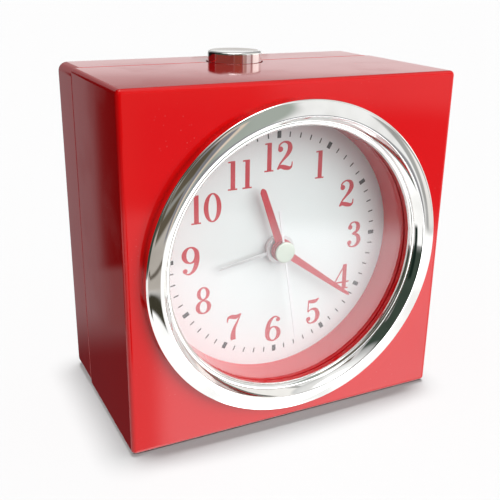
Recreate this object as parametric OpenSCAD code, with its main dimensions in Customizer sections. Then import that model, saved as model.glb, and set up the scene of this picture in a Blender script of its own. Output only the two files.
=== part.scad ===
// Cube-shaped travel alarm clock with a chrome bezel, built as it comes apart on a bench.
// Frame: +Z up, the dial faces -Y, origin at the middle of the footprint on the table.
// Depths are counted in mm rearwards from the flat front face of the case.

/* [Case] */
// Width and height of the square case
case_w = 90; // [88:1:96]
// Depth of the case, front face to rear face
case_d = 54; // [53:1:60]
// Depth of the front shell, front face to seam
seam_depth = 38; // [38:0.5:39]
// Wall thickness of both shells
wall = 2; // [1.8:0.1:2.2]
// Edge radius of the front shell
front_edge_r = 1.2; // [0.8:0.1:1.6]
// Edge radius of the rear shell
rear_edge_r = 2.4; // [1.8:0.1:2.6]
// Height of the rubber feet below the case
foot_h = 0.5; // [0.3:0.1:1]

/* [Bezel and dial] */
// Outer radius of the chrome ring
bezel_r = 40.8; // [40:0.1:42]
// Height of the ring's crest in front of the case
bezel_h = 3.3; // [2.8:0.1:3.8]
// Radius of the opening and of the visible dial
opening_r = 34.2; // [33.8:0.1:34.4]
// Depth of the dial's white face
dial_depth = 11.8; // [11.6:0.1:11.8]
// Depth of the lens's front face
lens_depth = 1.3; // [1.2:0.1:1.6]
// Thickness of the lens
lens_t = 1.5; // [1.2:0.1:1.5]

/* [Hands] */
// Length of the hour hand from the centre
hour_len = 18.3; // [16:0.1:20]
// Length of the minute hand from the centre
minute_len = 26.8; // [24:0.1:30]
// Length of the second hand from the centre
second_len = 26; // [20:0.1:30]
// Length of the alarm hand from the centre
alarm_len = 17.9; // [15:0.1:20]
// Clockwise angle of the hour hand from twelve
hour_angle = 340.6; // [0:0.1:360]
// Clockwise angle of the minute hand from twelve
minute_angle = 127; // [0:0.1:360]
// Clockwise angle of the second hand from twelve
second_angle = 171; // [0:0.1:360]
// Clockwise angle of the alarm hand from twelve
alarm_angle = 259.8; // [0:0.1:360]

/* [Snooze button] */
// Radius of the snooze button
snooze_r = 7.4; // [7:0.1:7.6]
// Height of the button above the case
snooze_h = 2.9; // [2.5:0.1:3.5]

/* [Rear controls] */
// Radius of the two setting knobs
knob_r = 7; // [6:0.5:7.5]
// Width of the well that holds the knobs
well_w = 48; // [46:1:50]
// Height of the well
well_h = 22; // [21:0.5:23]
// Depth of the well below the rear face
well_depth = 8; // [7.6:0.2:8]

/* [Hidden] */
$fn = 64;
front_y = (bezel_h - case_d) / 2;
dial_z = foot_h + case_w / 2;
top_z = foot_h + case_w;
half_w = case_w / 2;
inner_half = half_w - wall;
seam_gap = 0.3;
lip_overlap = 1.5;
hole_gap = 0.3;         // gap round the snooze button
bore_gap = 0.06;        // running clearance of pivots and pipes, on the radius
ring_r = 36;            // counterbore that holds lens, dial ring and dial
ring_gap = 0.05;
tunnel_boss_r = 38.2;
dial_t = 0.5;
plate_front = dial_depth + dial_t;
plate_t = 1.5;
plate_rear = plate_front + plate_t;
movement_half = 28;
movement_rear = 31.2;
movement_wall = 1.2;
ear_at = 32;
ear_r = 3.6;
post_r = 2.8;
case_boss_at = 38.5;
case_boss_r = 3.5;
screw_floor = 44;       // depth of the seat under each case screw's head
screw_head_r = 2.8;
foot_r = 4;
foot_sink = 0.8;
foot_x = 34;
foot_depths = [12, 46];
pipe_second = 0.5;      // outer radii of the four nested hand pipes
pipe_minute = 1.0;
pipe_hour = 1.6;
pipe_alarm = 2.2;
pipe_bush = 3.2;
pivot_r = 0.35;
arbor_r = 0.45;
set_arbor_r = 0.8;
pressure_angle = 20;
tooth_thin = 0.84;      // tooth thickness against the full involute tooth
addendum = 0.85;
dedendum = 1.2;
set_distance = 12;      // centre distance of both setting arbors from the dial axis
set_drop = -3;
set_x = sqrt(set_distance * set_distance - set_drop * set_drop);
time_axis = [-set_x, set_drop];
alarm_axis = [set_x, set_drop];
third_distance = 10.8;
third_axis = [0, third_distance];
idler_distance = 10.5;
idler_dir = -70;
idler_axis = idler_distance * [cos(idler_dir), sin(idler_dir)];
rotor_distance = 7.5;
rotor_axis = idler_axis - [0, rotor_distance];
well_floor = case_d - well_depth;
well_wall = 1.6;
well_y = set_drop;
knob_front = well_floor + 0.6;
knob_rear = case_d - 0.8;
stem_r = 2.2;
bay_x = 29;             // half length of the battery bay
bay_z = [6, 23.2];
bay_front = 37;
bay_wall = 1.5;
battery_r = 7.1;
battery_depth = 44.6;
battery_z = 14.6;
battery_x = [-22.2, 27.1];
door_half = 29.5;
door_t = 1.8;
door_axis_z = 7;
door_top_z = 24.2;
door_gap = 0.3;
door_depth = case_d - door_t / 2;
door_pin_r = 0.6;
snooze_travel = 1.5;
snooze_edge_r = 0.6;
bracket_top = top_z - 11.5;
bracket_t = 1.5;
bracket_boss = [12, 34.5];
buzzer_r = 10;
buzzer_y = 26;
switch_x = 27;
switch_y = 26;
switch_travel = 4;
switch_pad = 1.6;
hand_t = 0.2;
cap_layer = [6.6, 7.05];  // depths of the front and rear of each layer, from the cap to the rotor
second_hub = [7.05, 7.25];
minute_hub = [7.6, 8.15];
hour_hub = [8.45, 9.05];
alarm_hub = [9.35, 9.95];
alarm_pinion_layer = [14.1, 15.5];
alarm_gear = [14.3, 15.3];
hour_pinion_layer = [15.8, 17.1];
hour_gear = [15.9, 16.9];
cannon_gear = [17.5, 18.9];
motion_gear = [17.7, 18.7];
centre_pinion_layer = [19.2, 20.6];
centre_gear = [19.4, 20.4];
third_pinion_layer = [20.9, 22.3];
third_gear = [21.1, 22.1];
seconds_pinion_layer = [22.6, 23.8];
seconds_gear = [22.7, 23.5];
rotor_pinion_layer = [24, 25.1];
idler_gear = [24.1, 24.9];
rotor_layer = [25.5, 27.5];
arbor_rear = 29.6;
pivot_rear = 30.6;
pivot_front = plate_rear - 0.8;
set_arbor_rear = 40;

// ---------- placing and shape helpers ----------

// Dial coordinates at a depth: X right, Y up, Z towards the viewer
module at_depth(depth) translate([0, front_y + depth, dial_z]) rotate([90, 0, 0]) children();

// A flat outline in dial coordinates, filled from one depth to another
module span(front, rear) at_depth(rear) linear_extrude(rear - front) children();

// A flat outline in dial coordinates, filled through a layer
module layer(depths) span(depths[0], depths[1]) children();

// The four corners of a square layout
module four_corners(at) for (x = [-at, at], y = [-at, at]) translate([x, y]) children();

module rounded_rect(w, h, r) {
  square([w - 2 * r, h], center = true);
  square([w, h - 2 * r], center = true);
  for (x = [-1, 1], y = [-1, 1])
    translate([x * (w / 2 - r), y * (h / 2 - r)]) circle(r);
}

module ring(outer, inner) difference() {
  circle(outer);
  circle(inner);
}

module square_ring(outer, inner) difference() {
  square(2 * outer, center = true);
  square(2 * inner, center = true);
}

// The whole case as one block with its edges rounded
module case_block(r) intersection() {
  span(0, case_d) rounded_rect(case_w, case_w, r);
  translate([0, front_y + case_d / 2, foot_h]) linear_extrude(case_w) rounded_rect(case_w, case_d, r);
  translate([-half_w, front_y + case_d / 2, dial_z]) rotate([0, 90, 0])
    linear_extrude(case_w) rounded_rect(case_w, case_d, r);
}

// Upright cylinder of the snooze button's axis
module snooze_axis(z0, z1, r) translate([0, front_y + seam_depth, z0]) cylinder(h = z1 - z0, r = r);

// A point of the cubic curve through p[0] and p[3], steered by p[1] and p[2]
function curve_at(p, t) = pow(1 - t, 3) * p[0] + 3 * pow(1 - t, 2) * t * p[1] + 3 * (1 - t) * t * t * p[2]
  + t * t * t * p[3];

// Insulated wire along a cubic curve, with straight ends that run on along the depth
module wire(p, r, start, end, steps = 12, sides = 6) {
  middle_part = [for (i = [0 : steps]) curve_at(p, i / steps)];
  path = concat([p[0] + [0, start, 0]], middle_part, [p[3] + [0, end, 0]]);
  last = len(path) - 1;
  points = [for (i = [0 : last])
    let(t = path[min(i + 1, last)] - path[max(i - 1, 0)], u = cross(t, [1, 0, 0]), v = cross(t, u))
      for (j = [0 : sides - 1]) let(a = 360 * j / sides)
        path[i] + r * (cos(a) * u / norm(u) + sin(a) * v / norm(v))];
  swept_tube(points, last, sides);
}

// Closed tube over rings of points, from ring 0 to the last one
module swept_tube(points, last, sides) {
  walls = [for (i = [0 : last - 1], j = [0 : sides - 1]) let(k = (j + 1) % sides)
    [i * sides + j, i * sides + k, (i + 1) * sides + k, (i + 1) * sides + j]];
  caps = [[for (j = [sides - 1 : -1 : 0]) j], [for (j = [0 : sides - 1]) last * sides + j]];
  polyhedron(points, concat(walls, caps), convexity = 8);
}

// Points in the part's frame from dial coordinates and a depth
function place(x, y, depth) = [x, front_y + depth, dial_z + y];

// Coil spring along +Z whose radius runs from r0 to r1
module coil_spring(r0, r1, height, turns, wire_r, steps = 16, sides = 6) {
  rings = turns * steps;
  centre = function(i) let(a = 360 * i / steps, r = r0 + (r1 - r0) * i / rings)
    [r * cos(a), r * sin(a), wire_r + (height - 2 * wire_r) * i / rings];
  points = [for (i = [0 : rings], j = [0 : sides - 1]) let(a = 360 * i / steps, b = 360 * j / sides)
    centre(i) + wire_r * [cos(a) * cos(b), sin(a) * cos(b), sin(b)]];
  swept_tube(points, rings, sides);
}

// ---------- gears ----------

function involute(a) = tan(a) * 180 / PI - a;

// Half the angle that a tooth fills at radius r
function tooth_half(teeth, m, r) = let(base = m * teeth / 2 * cos(pressure_angle))
  90 / teeth * tooth_thin + involute(pressure_angle) - (r > base ? involute(acos(base / r)) : 0);

// Gear outline with a tooth centred on the phase angle
module gear_outline(teeth, m, phase) {
  tip = m * teeth / 2 + addendum * m;
  root = m * teeth / 2 - dedendum * m;
  at_tip = tooth_half(teeth, m, tip);
  at_root = tooth_half(teeth, m, root);
  polygon([for (i = [0 : teeth - 1]) let(c = phase + 360 * i / teeth)
    each [for (p = [[root, -at_root], [tip, -at_tip], [tip, at_tip], [root, at_root]])
      p[0] * [cos(c + p[1]), sin(c + p[1])]]]);
}

// Module of a pair from its centre distance
function pair_module(distance, a, b) = 2 * distance / (a + b);

// Direction of one axis from another, and the phases that put the two gears in mesh
function direction(from, to) = atan2(to.y - from.y, to.x - from.x);
function wheel_phase(from, to) = direction(from, to);
function pinion_phase(from, to, teeth) = direction(from, to) + 180 + 180 / teeth;

// Wheel with a round bore
module wheel(teeth, m, phase, bore) difference() {
  gear_outline(teeth, m, phase);
  circle(bore);
}

motion_m = pair_module(set_distance, 45, 15);
hour_m = pair_module(set_distance, 48, 12);
alarm_m = pair_module(set_distance, 48, 16);
centre_m = pair_module(third_distance, 64, 8);
third_m = pair_module(third_distance, 60, 8);
seconds_m = pair_module(idler_distance, 60, 10);
idler_m = pair_module(rotor_distance, 50, 10);
middle = [0, 0];

// ---------- case ----------

module case_cavity(front, rear) span(front, rear) square(2 * inner_half, center = true);

module snooze_hole() snooze_axis(top_z - 2 * wall, top_z + 1, snooze_r + hole_gap);

module foot_recess(depth) for (x = [-foot_x, foot_x])
  translate([x, front_y + depth, foot_h - 1]) cylinder(h = foot_sink + 1, r = foot_r + ring_gap);

module front_case() color("crimson") difference() {
  union() {
    difference() {
      intersection() {
        case_block(front_edge_r);
        span(-1, seam_depth - seam_gap / 2) square(case_w + 2, center = true);
      }
      case_cavity(wall, seam_depth);
    }
    span(wall - 0.1, plate_front) circle(tunnel_boss_r);
    span(wall - 0.1, plate_front) four_corners(ear_at) circle(post_r);
    span(wall - 0.1, seam_depth - seam_gap / 2) four_corners(case_boss_at) circle(case_boss_r);
    for (x = [-bracket_boss.x, bracket_boss.x])
      translate([x, front_y + bracket_boss.y, bracket_top])
        cylinder(h = top_z - bracket_top - wall + 0.1, r = 2.2);
  }
  span(-1, lens_depth + 0.1) circle(opening_r);
  span(lens_depth, plate_front + 1) circle(ring_r);
  span(-1, 1.3) ring(38.4, 37.2);
  span(4, plate_front + 1) four_corners(ear_at) circle(1.05);
  span(26, seam_depth) four_corners(case_boss_at) circle(1.3);
  span(seam_depth - seam_gap / 2 - lip_overlap, seam_depth) square_ring(inner_half + 1, inner_half - 0.1);
  for (x = [-bracket_boss.x, bracket_boss.x])
    translate([x, front_y + bracket_boss.y, bracket_top - 1]) cylinder(h = 7, r = 0.9);
  snooze_hole();
  foot_recess(foot_depths[0]);
}

module well_outline(grow)
  translate([0, well_y]) rounded_rect(well_w + 2 * grow, well_h + 2 * grow, 3 + grow);

module bay_box(grow, front, rear) translate([-bay_x - grow, front_y + front, bay_z[0] - grow])
  cube([2 * (bay_x + grow), rear - front, bay_z[1] - bay_z[0] + 2 * grow]);

module sound_holes() for (k = [0, 6, 12]) for (i = [0 : max(k - 1, 0)])
  rotate(i * 360 / max(k, 1)) translate([k * 0.55, 0]) circle(0.8, $fn = 24);

module rear_case() color("firebrick") difference() {
  union() {
    difference() {
      intersection() {
        case_block(rear_edge_r);
        span(seam_depth + seam_gap / 2, case_d + 1) square(case_w + 2, center = true);
      }
      case_cavity(seam_depth, case_d - wall);
    }
    span(seam_depth + seam_gap / 2 - lip_overlap, seam_depth + seam_gap / 2 + 1)
      square_ring(inner_half + 0.95, inner_half);
    span(well_floor - well_wall, case_d - 1) well_outline(well_wall);
    span(seam_depth + seam_gap / 2, case_d - 1) four_corners(case_boss_at) circle(4.2);
    bay_box(bay_wall, bay_front - bay_wall, case_d - 1);
    span(case_d - wall - 3, case_d - 1) translate([0, buzzer_y]) ring(buzzer_r + 1.5, buzzer_r + 0.1);
    span(case_d - wall - switch_pad, case_d - 1)
      translate([switch_x, switch_y]) square([16, 9], center = true);
  }
  span(well_floor, case_d + 1) well_outline(0);
  span(well_floor - 3, well_floor + 1) {
    translate(time_axis) circle(stem_r + 0.4);
    translate(alarm_axis) circle(stem_r + 0.4);
  }
  span(screw_floor, case_d + 1) four_corners(case_boss_at) circle(screw_head_r + 0.3);
  span(seam_depth - 1, case_d) four_corners(case_boss_at) circle(1.6);
  bay_box(0, bay_front, case_d + 1);
  translate([-door_half - door_gap, front_y + case_d - door_t - 0.1, door_axis_z - 1.2])
    cube([2 * (door_half + door_gap), door_t + 2, door_top_z - door_axis_z + 1.2 + door_gap]);
  translate([-door_half - 1.4, front_y + door_depth, door_axis_z]) rotate([0, 90, 0])
    cylinder(h = 2 * door_half + 2.8, r = door_pin_r + bore_gap);
  translate([0, front_y + case_d + 4.4, door_top_z]) sphere(6);
  span(case_d - 3, case_d + 1) translate([0, buzzer_y]) sound_holes();
  span(case_d - 1.7, case_d + 1) translate([switch_x, switch_y]) rounded_rect(12, 6, 1);
  span(case_d - wall - switch_pad - 1, case_d)
    translate([switch_x, switch_y]) square([8.4, 2.8], center = true);
  snooze_hole();
  foot_recess(foot_depths[1]);
}

// Profile of the chrome ring: radius against height in front of the case. A sloping lip and a steep flank
// rise to the crest, a gently falling band runs outwards, and a skirt sits in the case's groove.
module bezel() color("gainsboro") at_depth(0) rotate_extrude() {
  crest = opening_r + 2.7;
  band_w = bezel_r - 0.35 - crest;
  lip = [opening_r + 1.1, 1.2];
  band = [for (i = [0 : 6]) [crest + i / 6 * band_w, bezel_h - 0.55 * pow(i / 6, 2)]];
  skirt = [[38.35, 0], [38.35, -1.2], [37.25, -1.2], [37.25, 0]];
  polygon(concat([[opening_r, 0], [opening_r, 0.15], lip], band,
    [[bezel_r, bezel_h - 1.1], [bezel_r, 0]], skirt));
}

module lens() color("white", 0.3) span(lens_depth, lens_depth + lens_t) circle(ring_r - ring_gap);

module dial_ring() color("red") span(lens_depth + lens_t, dial_depth) ring(ring_r - ring_gap, opening_r);

module dial() color("white") span(dial_depth, plate_front) ring(ring_r - ring_gap, pipe_bush + 0.2);

module rubber_feet() color("dimgray") for (depth = foot_depths, x = [-foot_x, foot_x])
  translate([x, front_y + depth, 0]) cylinder(h = foot_h + foot_sink, r = foot_r);

// Pan-head screw along dial Z with its head towards the rear; the seat is at z = 0
module rear_screw(head_r, head_h, shank_r, length) {
  difference() {
    translate([0, 0, -head_h]) cylinder(h = head_h, r = head_r);
    for (a = [0, 90])
      rotate(a) translate([-head_r * 0.6, -0.35, -head_h - 1]) cube([head_r * 1.2, 0.7, 1.7]);
  }
  cylinder(h = length, r = shank_r);
}

module case_screws() color("silver") at_depth(screw_floor) four_corners(case_boss_at)
  rear_screw(screw_head_r, 2, 1.25, 15);

// ---------- movement ----------

module movement_front_plate() color("whitesmoke") difference() {
  union() {
    span(plate_front, plate_rear) {
      square(2 * movement_half, center = true);
      four_corners(ear_at) circle(ear_r);
      for (a = [45, 135]) rotate(a) square([2 * ear_at * sqrt(2), 2 * ear_r], center = true);
    }
    span(dial_depth - 1.6, plate_front + 1) circle(pipe_bush);
  }
  span(0, plate_rear + 1) circle(pipe_alarm + bore_gap);
  span(plate_front - 1, plate_rear + 1) four_corners(ear_at) circle(1.3);
  span(plate_rear - 0.9, plate_rear + 1) {
    for (axis = [third_axis, idler_axis, rotor_axis]) translate(axis) circle(pivot_r + bore_gap);
    for (axis = [time_axis, alarm_axis]) translate(axis) circle(set_arbor_r + bore_gap);
  }
}

module movement_rear_cover() color("lightgray") difference() {
  span(plate_rear, movement_rear) square(2 * movement_half, center = true);
  span(plate_rear - 1, movement_rear - movement_wall)
    square(2 * (movement_half - movement_wall), center = true);
  span(movement_rear - 2, movement_rear + 1) {
    for (axis = [time_axis, alarm_axis]) translate(axis) circle(set_arbor_r + bore_gap);
    for (x = [-21, -17]) translate([x, 15]) circle(0.7, $fn = 24);
    for (x = [-21, -17]) translate([x, 20]) circle(0.7, $fn = 24);
  }
  span(movement_rear - 1.3, movement_rear - 0.4)
    for (axis = [middle, third_axis, idler_axis, rotor_axis]) translate(axis) circle(pivot_r + bore_gap);
}

module movement_screws() color("silver")
  at_depth(plate_rear) four_corners(ear_at) rear_screw(2.4, 1.6, 1, 8);

module circuit_board() color("darkgreen") span(28.4, 29.4) difference() {
  translate([-14.5, 14.5]) square([23, 17], center = true);
  for (x = [-21, -17], y = [15, 20]) translate([x, y]) circle(0.3, $fn = 24);
}

module driver_chip() color("black") span(27.5, 28.4) translate([-9, 12]) circle(3);

module quartz_crystal() color("silver")
  translate(place(-24, 9.2, 27.3)) rotate([0, 90, 0]) cylinder(h = 6, r = 1);

coil_x = 20;
coil_y = -17;
coil_depth = 26.4;

// Bobbin with end flanges on a vertical axis beside the stator
module coil_bobbin() color("ivory") translate(place(coil_x, coil_y - 6.5, coil_depth)) difference() {
  union() {
    cylinder(h = 13, r = 1.9);
    cylinder(h = 0.8, r = 3.4);
    translate([0, 0, 12.2]) cylinder(h = 0.8, r = 3.4);
  }
  translate([-1.05, -0.55, -1]) cube([2.1, 1.1, 15]);
}

module coil_winding() color("peru") translate(place(coil_x, coil_y - 5.65, coil_depth)) difference() {
  cylinder(h = 11.3, r = 3.2);
  translate([0, 0, -1]) cylinder(h = 14, r = 1.95);
}

// C-shaped pole plate: a hole for the rotor, two arms and the core through the bobbin
module stator() color("slategray") span(coil_depth - 0.5, coil_depth + 0.5) difference() {
  union() {
    translate([-1, -26]) square([15, 14]);
    translate([-1, -26]) square([24, 2.3]);
    translate([8, -10.3]) square([15, 2.3]);
    translate([8, -13]) square([6, 5]);
    translate([coil_x - 1, -26]) square([2, 18]);
  }
  translate(rotor_axis) circle(2.6);
}

module alarm_contact_spring() color("goldenrod") {
  span(28.1, 28.4) translate([-14, 4]) square([10, 1.6]);
  span(24, 28.3) translate([-5.4, 4]) square([0.3, 1.6]);
}

module buzzer() color("darkgoldenrod") {
  span(case_d - wall - 0.4, case_d - wall) translate([0, buzzer_y]) circle(buzzer_r);
  span(case_d - wall - 0.7, case_d - wall - 0.4) translate([0, buzzer_y]) circle(buzzer_r * 0.7);
}

// ---------- battery ----------

module battery() color("dimgray") translate([0, front_y + battery_depth, battery_z]) rotate([0, 90, 0]) {
  translate([0, 0, battery_x[0]]) cylinder(h = battery_x[1] - battery_x[0], r = battery_r);
  translate([0, 0, battery_x[1]]) cylinder(h = 1.2, r = 2.75);
}

module battery_spring() color("silver") {
  translate([-bay_x + 0.4, front_y + battery_depth, battery_z]) rotate([0, 90, 0])
    coil_spring(4.6, 2.6, battery_x[0] + bay_x - 0.45, 4, 0.4, 14);
  translate([-bay_x, front_y + battery_depth - 6, battery_z - 6]) cube([0.4, 12, 12]);
}

module battery_plate() color("silver") translate([bay_x - 0.4, front_y + battery_depth - 6, battery_z - 6])
  cube([0.4, 12, 12]);

module battery_wires() for (x = [-21, -17]) color(x == -21 ? "black" : "red")
  wire([place(x, -26, 34.5), place(x, -26, 32), place(x, 15, 42), place(x, 15, 32)], 0.55, 0.9, -2.6);

module buzzer_wires() color("gold") for (i = [0, 1])
  wire([place(-4 + 2 * i, buzzer_y - 2 * i, 50.6), place(-4 + 2 * i, buzzer_y - 2 * i, 38),
    place(-21 + 4 * i, 20, 44), place(-21 + 4 * i, 20, 32)], 0.5, 0.6, -2.6);

module battery_door() color("firebrick") difference() {
  union() {
    translate([-door_half, front_y + case_d - door_t, door_axis_z])
      cube([2 * door_half, door_t, door_top_z - door_axis_z]);
    translate([-door_half, front_y + door_depth, door_axis_z]) rotate([0, 90, 0])
      cylinder(h = 2 * door_half, r = door_t / 2);
    translate([-door_half - 1.2, front_y + door_depth, door_axis_z]) rotate([0, 90, 0])
      cylinder(h = 2 * door_half + 2.4, r = door_pin_r);
  }
  translate([0, front_y + case_d + 4.4, door_top_z]) sphere(6);
}

// ---------- snooze ----------

module snooze_bracket() color("ivory") difference() {
  translate([-15, front_y + 31.8, bracket_top - bracket_t]) cube([30, 13.4, bracket_t]);
  for (x = [-bracket_boss.x, bracket_boss.x])
    translate([x, front_y + bracket_boss.y, bracket_top - bracket_t - 1]) cylinder(h = 4, r = 1);
}

module snooze_switch() color("black") {
  translate([-2.5, front_y + seam_depth - 2.5, bracket_top]) cube([5, 5, 3]);
  snooze_axis(bracket_top + 3, bracket_top + 3.6, 1.5);
}

module bracket_screws() color("silver") for (x = [-bracket_boss.x, bracket_boss.x])
  translate([x, front_y + bracket_boss.y, bracket_top - bracket_t]) {
    cylinder(h = 6, r = 0.85);
    difference() {
      translate([0, 0, -1.4]) cylinder(h = 1.4, r = 2);
      translate([-1.3, -0.25, -2]) cube([2.6, 0.5, 1]);
      translate([-0.25, -1.3, -2]) cube([0.5, 2.6, 1]);
    }
  }

module snooze_button() color("gainsboro") {
  difference() {
    union() {
      snooze_axis(top_z - 3.7, top_z + snooze_h - snooze_edge_r, snooze_r);
      snooze_axis(top_z + snooze_h - snooze_edge_r - 0.1, top_z + snooze_h, snooze_r - snooze_edge_r);
      translate([0, front_y + seam_depth, top_z + snooze_h - snooze_edge_r]) rotate_extrude()
        translate([snooze_r - snooze_edge_r, 0]) circle(snooze_edge_r);
      snooze_axis(top_z - 3.7, top_z - wall - 0.1, snooze_r + 1.5);
    }
    snooze_axis(top_z - 5, top_z + 1.6, snooze_r - 1.2);
  }
  snooze_axis(bracket_top + 3.6 + snooze_travel + 0.1, top_z + 1.7, 1.4);
}

module snooze_spring() color("silver") translate([0, front_y + seam_depth, bracket_top])
  coil_spring(4.6, 4.6, top_z + 1.6 - bracket_top, 6, 0.3);

// ---------- alarm switch ----------

module alarm_switch_body() color("black") difference() {
  span(44.5, case_d - wall - switch_pad) translate([switch_x, switch_y]) square([15, 8], center = true);
  span(46, case_d - wall) translate([switch_x, switch_y]) square([8.6, 3], center = true);
}

// Off is the end nearer the middle of the clock; it slides outwards to on
module alarm_switch_slider() color("whitesmoke") translate([-switch_travel / 2, 0, 0]) {
  span(46.6, case_d - 1.5) translate([switch_x, switch_y]) square([4, 2.4], center = true);
  span(case_d - 1.6, case_d - 0.4) translate([switch_x, switch_y]) square([7, 5.2], center = true);
}

// ---------- hands and their wheels ----------

// A hand that points up, blade from root width to tip width, with a blunt end
module blade(length, root, tip, tail = 0) polygon([
  [-root / 2, -tail], [root / 2, -tail],
  [tip / 2, length - tip / 2], [0, length], [-tip / 2, length - tip / 2]
]);

module hour_hand() color("crimson") rotate_hand(hour_angle)
  hand_hub(hour_hub, 3.0, pipe_hour) blade(hour_len, 2.3, 1.7);

module minute_hand() color("crimson") rotate_hand(minute_angle)
  hand_hub(minute_hub, 2.9, pipe_minute) blade(minute_len, 2.1, 0.9);

module second_hand() color("silver") rotate_hand(second_angle)
  hand_hub(second_hub, 2.2, pipe_second) blade(second_len, 0.5, 0.4, 11.5);

module alarm_hand() color("silver") rotate_hand(alarm_angle)
  hand_hub(alarm_hub, 3.9, pipe_alarm) blade(alarm_len, 0.9, 0.6);

module rotate_hand(clockwise) translate([0, 0, dial_z]) rotate([0, clockwise, 0]) translate([0, 0, -dial_z])
  children();

// Hub disc with the blade in the middle of its thickness, bored to sit on its pipe
module hand_hub(depths, r, bore) {
  centre = (depths[0] + depths[1]) / 2;
  span(centre - hand_t / 2, centre + hand_t / 2) difference() {
    children();
    circle(bore);
  }
  layer(depths) ring(r, bore);
}

module second_hand_cap() color("whitesmoke") layer(cap_layer) circle(2.8);

module hour_wheel() color("ivory") {
  layer(hour_gear) wheel(48, hour_m, wheel_phase(middle, time_axis), pipe_minute + bore_gap);
  span(hour_hub[0], hour_gear[1] + 0.1) ring(pipe_hour, pipe_minute + bore_gap);
}

module cannon_pinion() color("goldenrod") {
  layer(cannon_gear) wheel(15, motion_m, pinion_phase(time_axis, middle, 15), pipe_second + bore_gap);
  span(minute_hub[0], centre_gear[1] + 0.2) ring(pipe_minute, pipe_second + bore_gap);
}

module seconds_wheel() color("ivory") {
  layer(seconds_gear) gear_outline(60, seconds_m, wheel_phase(middle, idler_axis));
  layer(third_pinion_layer) gear_outline(8, third_m, pinion_phase(third_axis, middle, 8));
  span(second_hub[0], arbor_rear) circle(pipe_second);
  span(arbor_rear - 0.6, pivot_rear) circle(pivot_r);
}

module alarm_wheel() color("ivory") {
  layer(alarm_gear) wheel(48, alarm_m, wheel_phase(middle, alarm_axis), pipe_hour + bore_gap);
  span(alarm_hub[0], alarm_gear[1] + 0.1) ring(pipe_alarm, pipe_hour + bore_gap);
}

module time_set_arbor() color("ivory") {
  layer(hour_pinion_layer) translate(time_axis)
    gear_outline(12, hour_m, pinion_phase(middle, time_axis, 12));
  layer(motion_gear) translate(time_axis) gear_outline(45, motion_m, wheel_phase(time_axis, middle));
  span(pivot_front, set_arbor_rear) translate(time_axis) circle(set_arbor_r);
}

module alarm_set_arbor() color("ivory") {
  layer(alarm_pinion_layer) translate(alarm_axis)
    gear_outline(16, alarm_m, pinion_phase(middle, alarm_axis, 16));
  span(pivot_front, set_arbor_rear) translate(alarm_axis) circle(set_arbor_r);
}

// Fluted head in the well, and a stem that is pressed onto the arbor
module setting_knob(axis) translate([axis.x, 0, axis.y]) {
  span(knob_front, knob_rear) difference() {
    circle(knob_r);
    for (i = [0 : 17]) rotate(20 * i) translate([knob_r + 0.5, 0]) circle(1, $fn = 24);
  }
  span(33, knob_front) ring(stem_r, set_arbor_r);
  span(set_arbor_rear, knob_front + 0.1) circle(set_arbor_r + 0.1);
}

module time_set_knob() color("black") setting_knob(time_axis);

module alarm_set_knob() color("black") setting_knob(alarm_axis);

module centre_wheel() color("goldenrod")
  layer(centre_gear) wheel(64, centre_m, wheel_phase(middle, third_axis), pipe_minute + bore_gap);

module third_wheel() color("ivory") {
  layer(third_gear) translate(third_axis) gear_outline(60, third_m, wheel_phase(third_axis, middle));
  layer(centre_pinion_layer) translate(third_axis)
    gear_outline(8, centre_m, pinion_phase(middle, third_axis, 8));
  span(plate_rear, arbor_rear) translate(third_axis) circle(arbor_r);
  span(pivot_front, pivot_rear) translate(third_axis) circle(pivot_r);
}

module intermediate_wheel() color("ivory") {
  layer(idler_gear) translate(idler_axis) gear_outline(50, idler_m, wheel_phase(idler_axis, rotor_axis));
  layer(seconds_pinion_layer) translate(idler_axis)
    gear_outline(10, seconds_m, pinion_phase(middle, idler_axis, 10));
  span(plate_rear, arbor_rear) translate(idler_axis) circle(arbor_r);
  span(pivot_front, pivot_rear) translate(idler_axis) circle(pivot_r);
}

module rotor_magnet() color("dimgray") layer(rotor_layer) translate(rotor_axis) ring(2, arbor_r);

module rotor_pinion() color("ivory") {
  layer(rotor_pinion_layer) translate(rotor_axis)
    gear_outline(10, idler_m, pinion_phase(idler_axis, rotor_axis, 10));
  span(plate_rear, arbor_rear) translate(rotor_axis) circle(arbor_r);
  span(pivot_front, pivot_rear) translate(rotor_axis) circle(pivot_r);
}

front_case();
rear_case();
bezel();
lens();
dial_ring();
dial();
rubber_feet();
case_screws();
movement_front_plate();
movement_rear_cover();
movement_screws();
circuit_board();
driver_chip();
quartz_crystal();
coil_bobbin();
coil_winding();
stator();
alarm_contact_spring();
buzzer();
battery();
battery_spring();
battery_plate();
battery_wires();
buzzer_wires();
snooze_bracket();
snooze_switch();
bracket_screws();
alarm_switch_body();
hour_hand();
hour_wheel();
minute_hand();
cannon_pinion();
second_hand();
second_hand_cap();
seconds_wheel();
alarm_hand();
alarm_wheel();
time_set_arbor();
time_set_knob();
alarm_set_arbor();
alarm_set_knob();
centre_wheel();
third_wheel();
intermediate_wheel();
rotor_magnet();
rotor_pinion();
snooze_button();
snooze_spring();
alarm_switch_slider();
battery_door();
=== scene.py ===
"""Looks of a square red travel alarm clock with a chrome ring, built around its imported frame.

Shapes are made in millimetres of the clock's own coordinates: X to the right, Y rearwards from the
flat front face of the case (the depth), Z upwards from the dial's centre. One step at the end turns
them into metres of the shared frame. Each sub-assembly is a class that holds its sizes, builds its
pieces and gives every piece its finish.
"""

import logging
import math
from collections.abc import Callable, Iterable, Sequence
from dataclasses import dataclass, field
from enum import Enum

import bmesh
import bpy
from mathutils import Matrix, Vector


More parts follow.
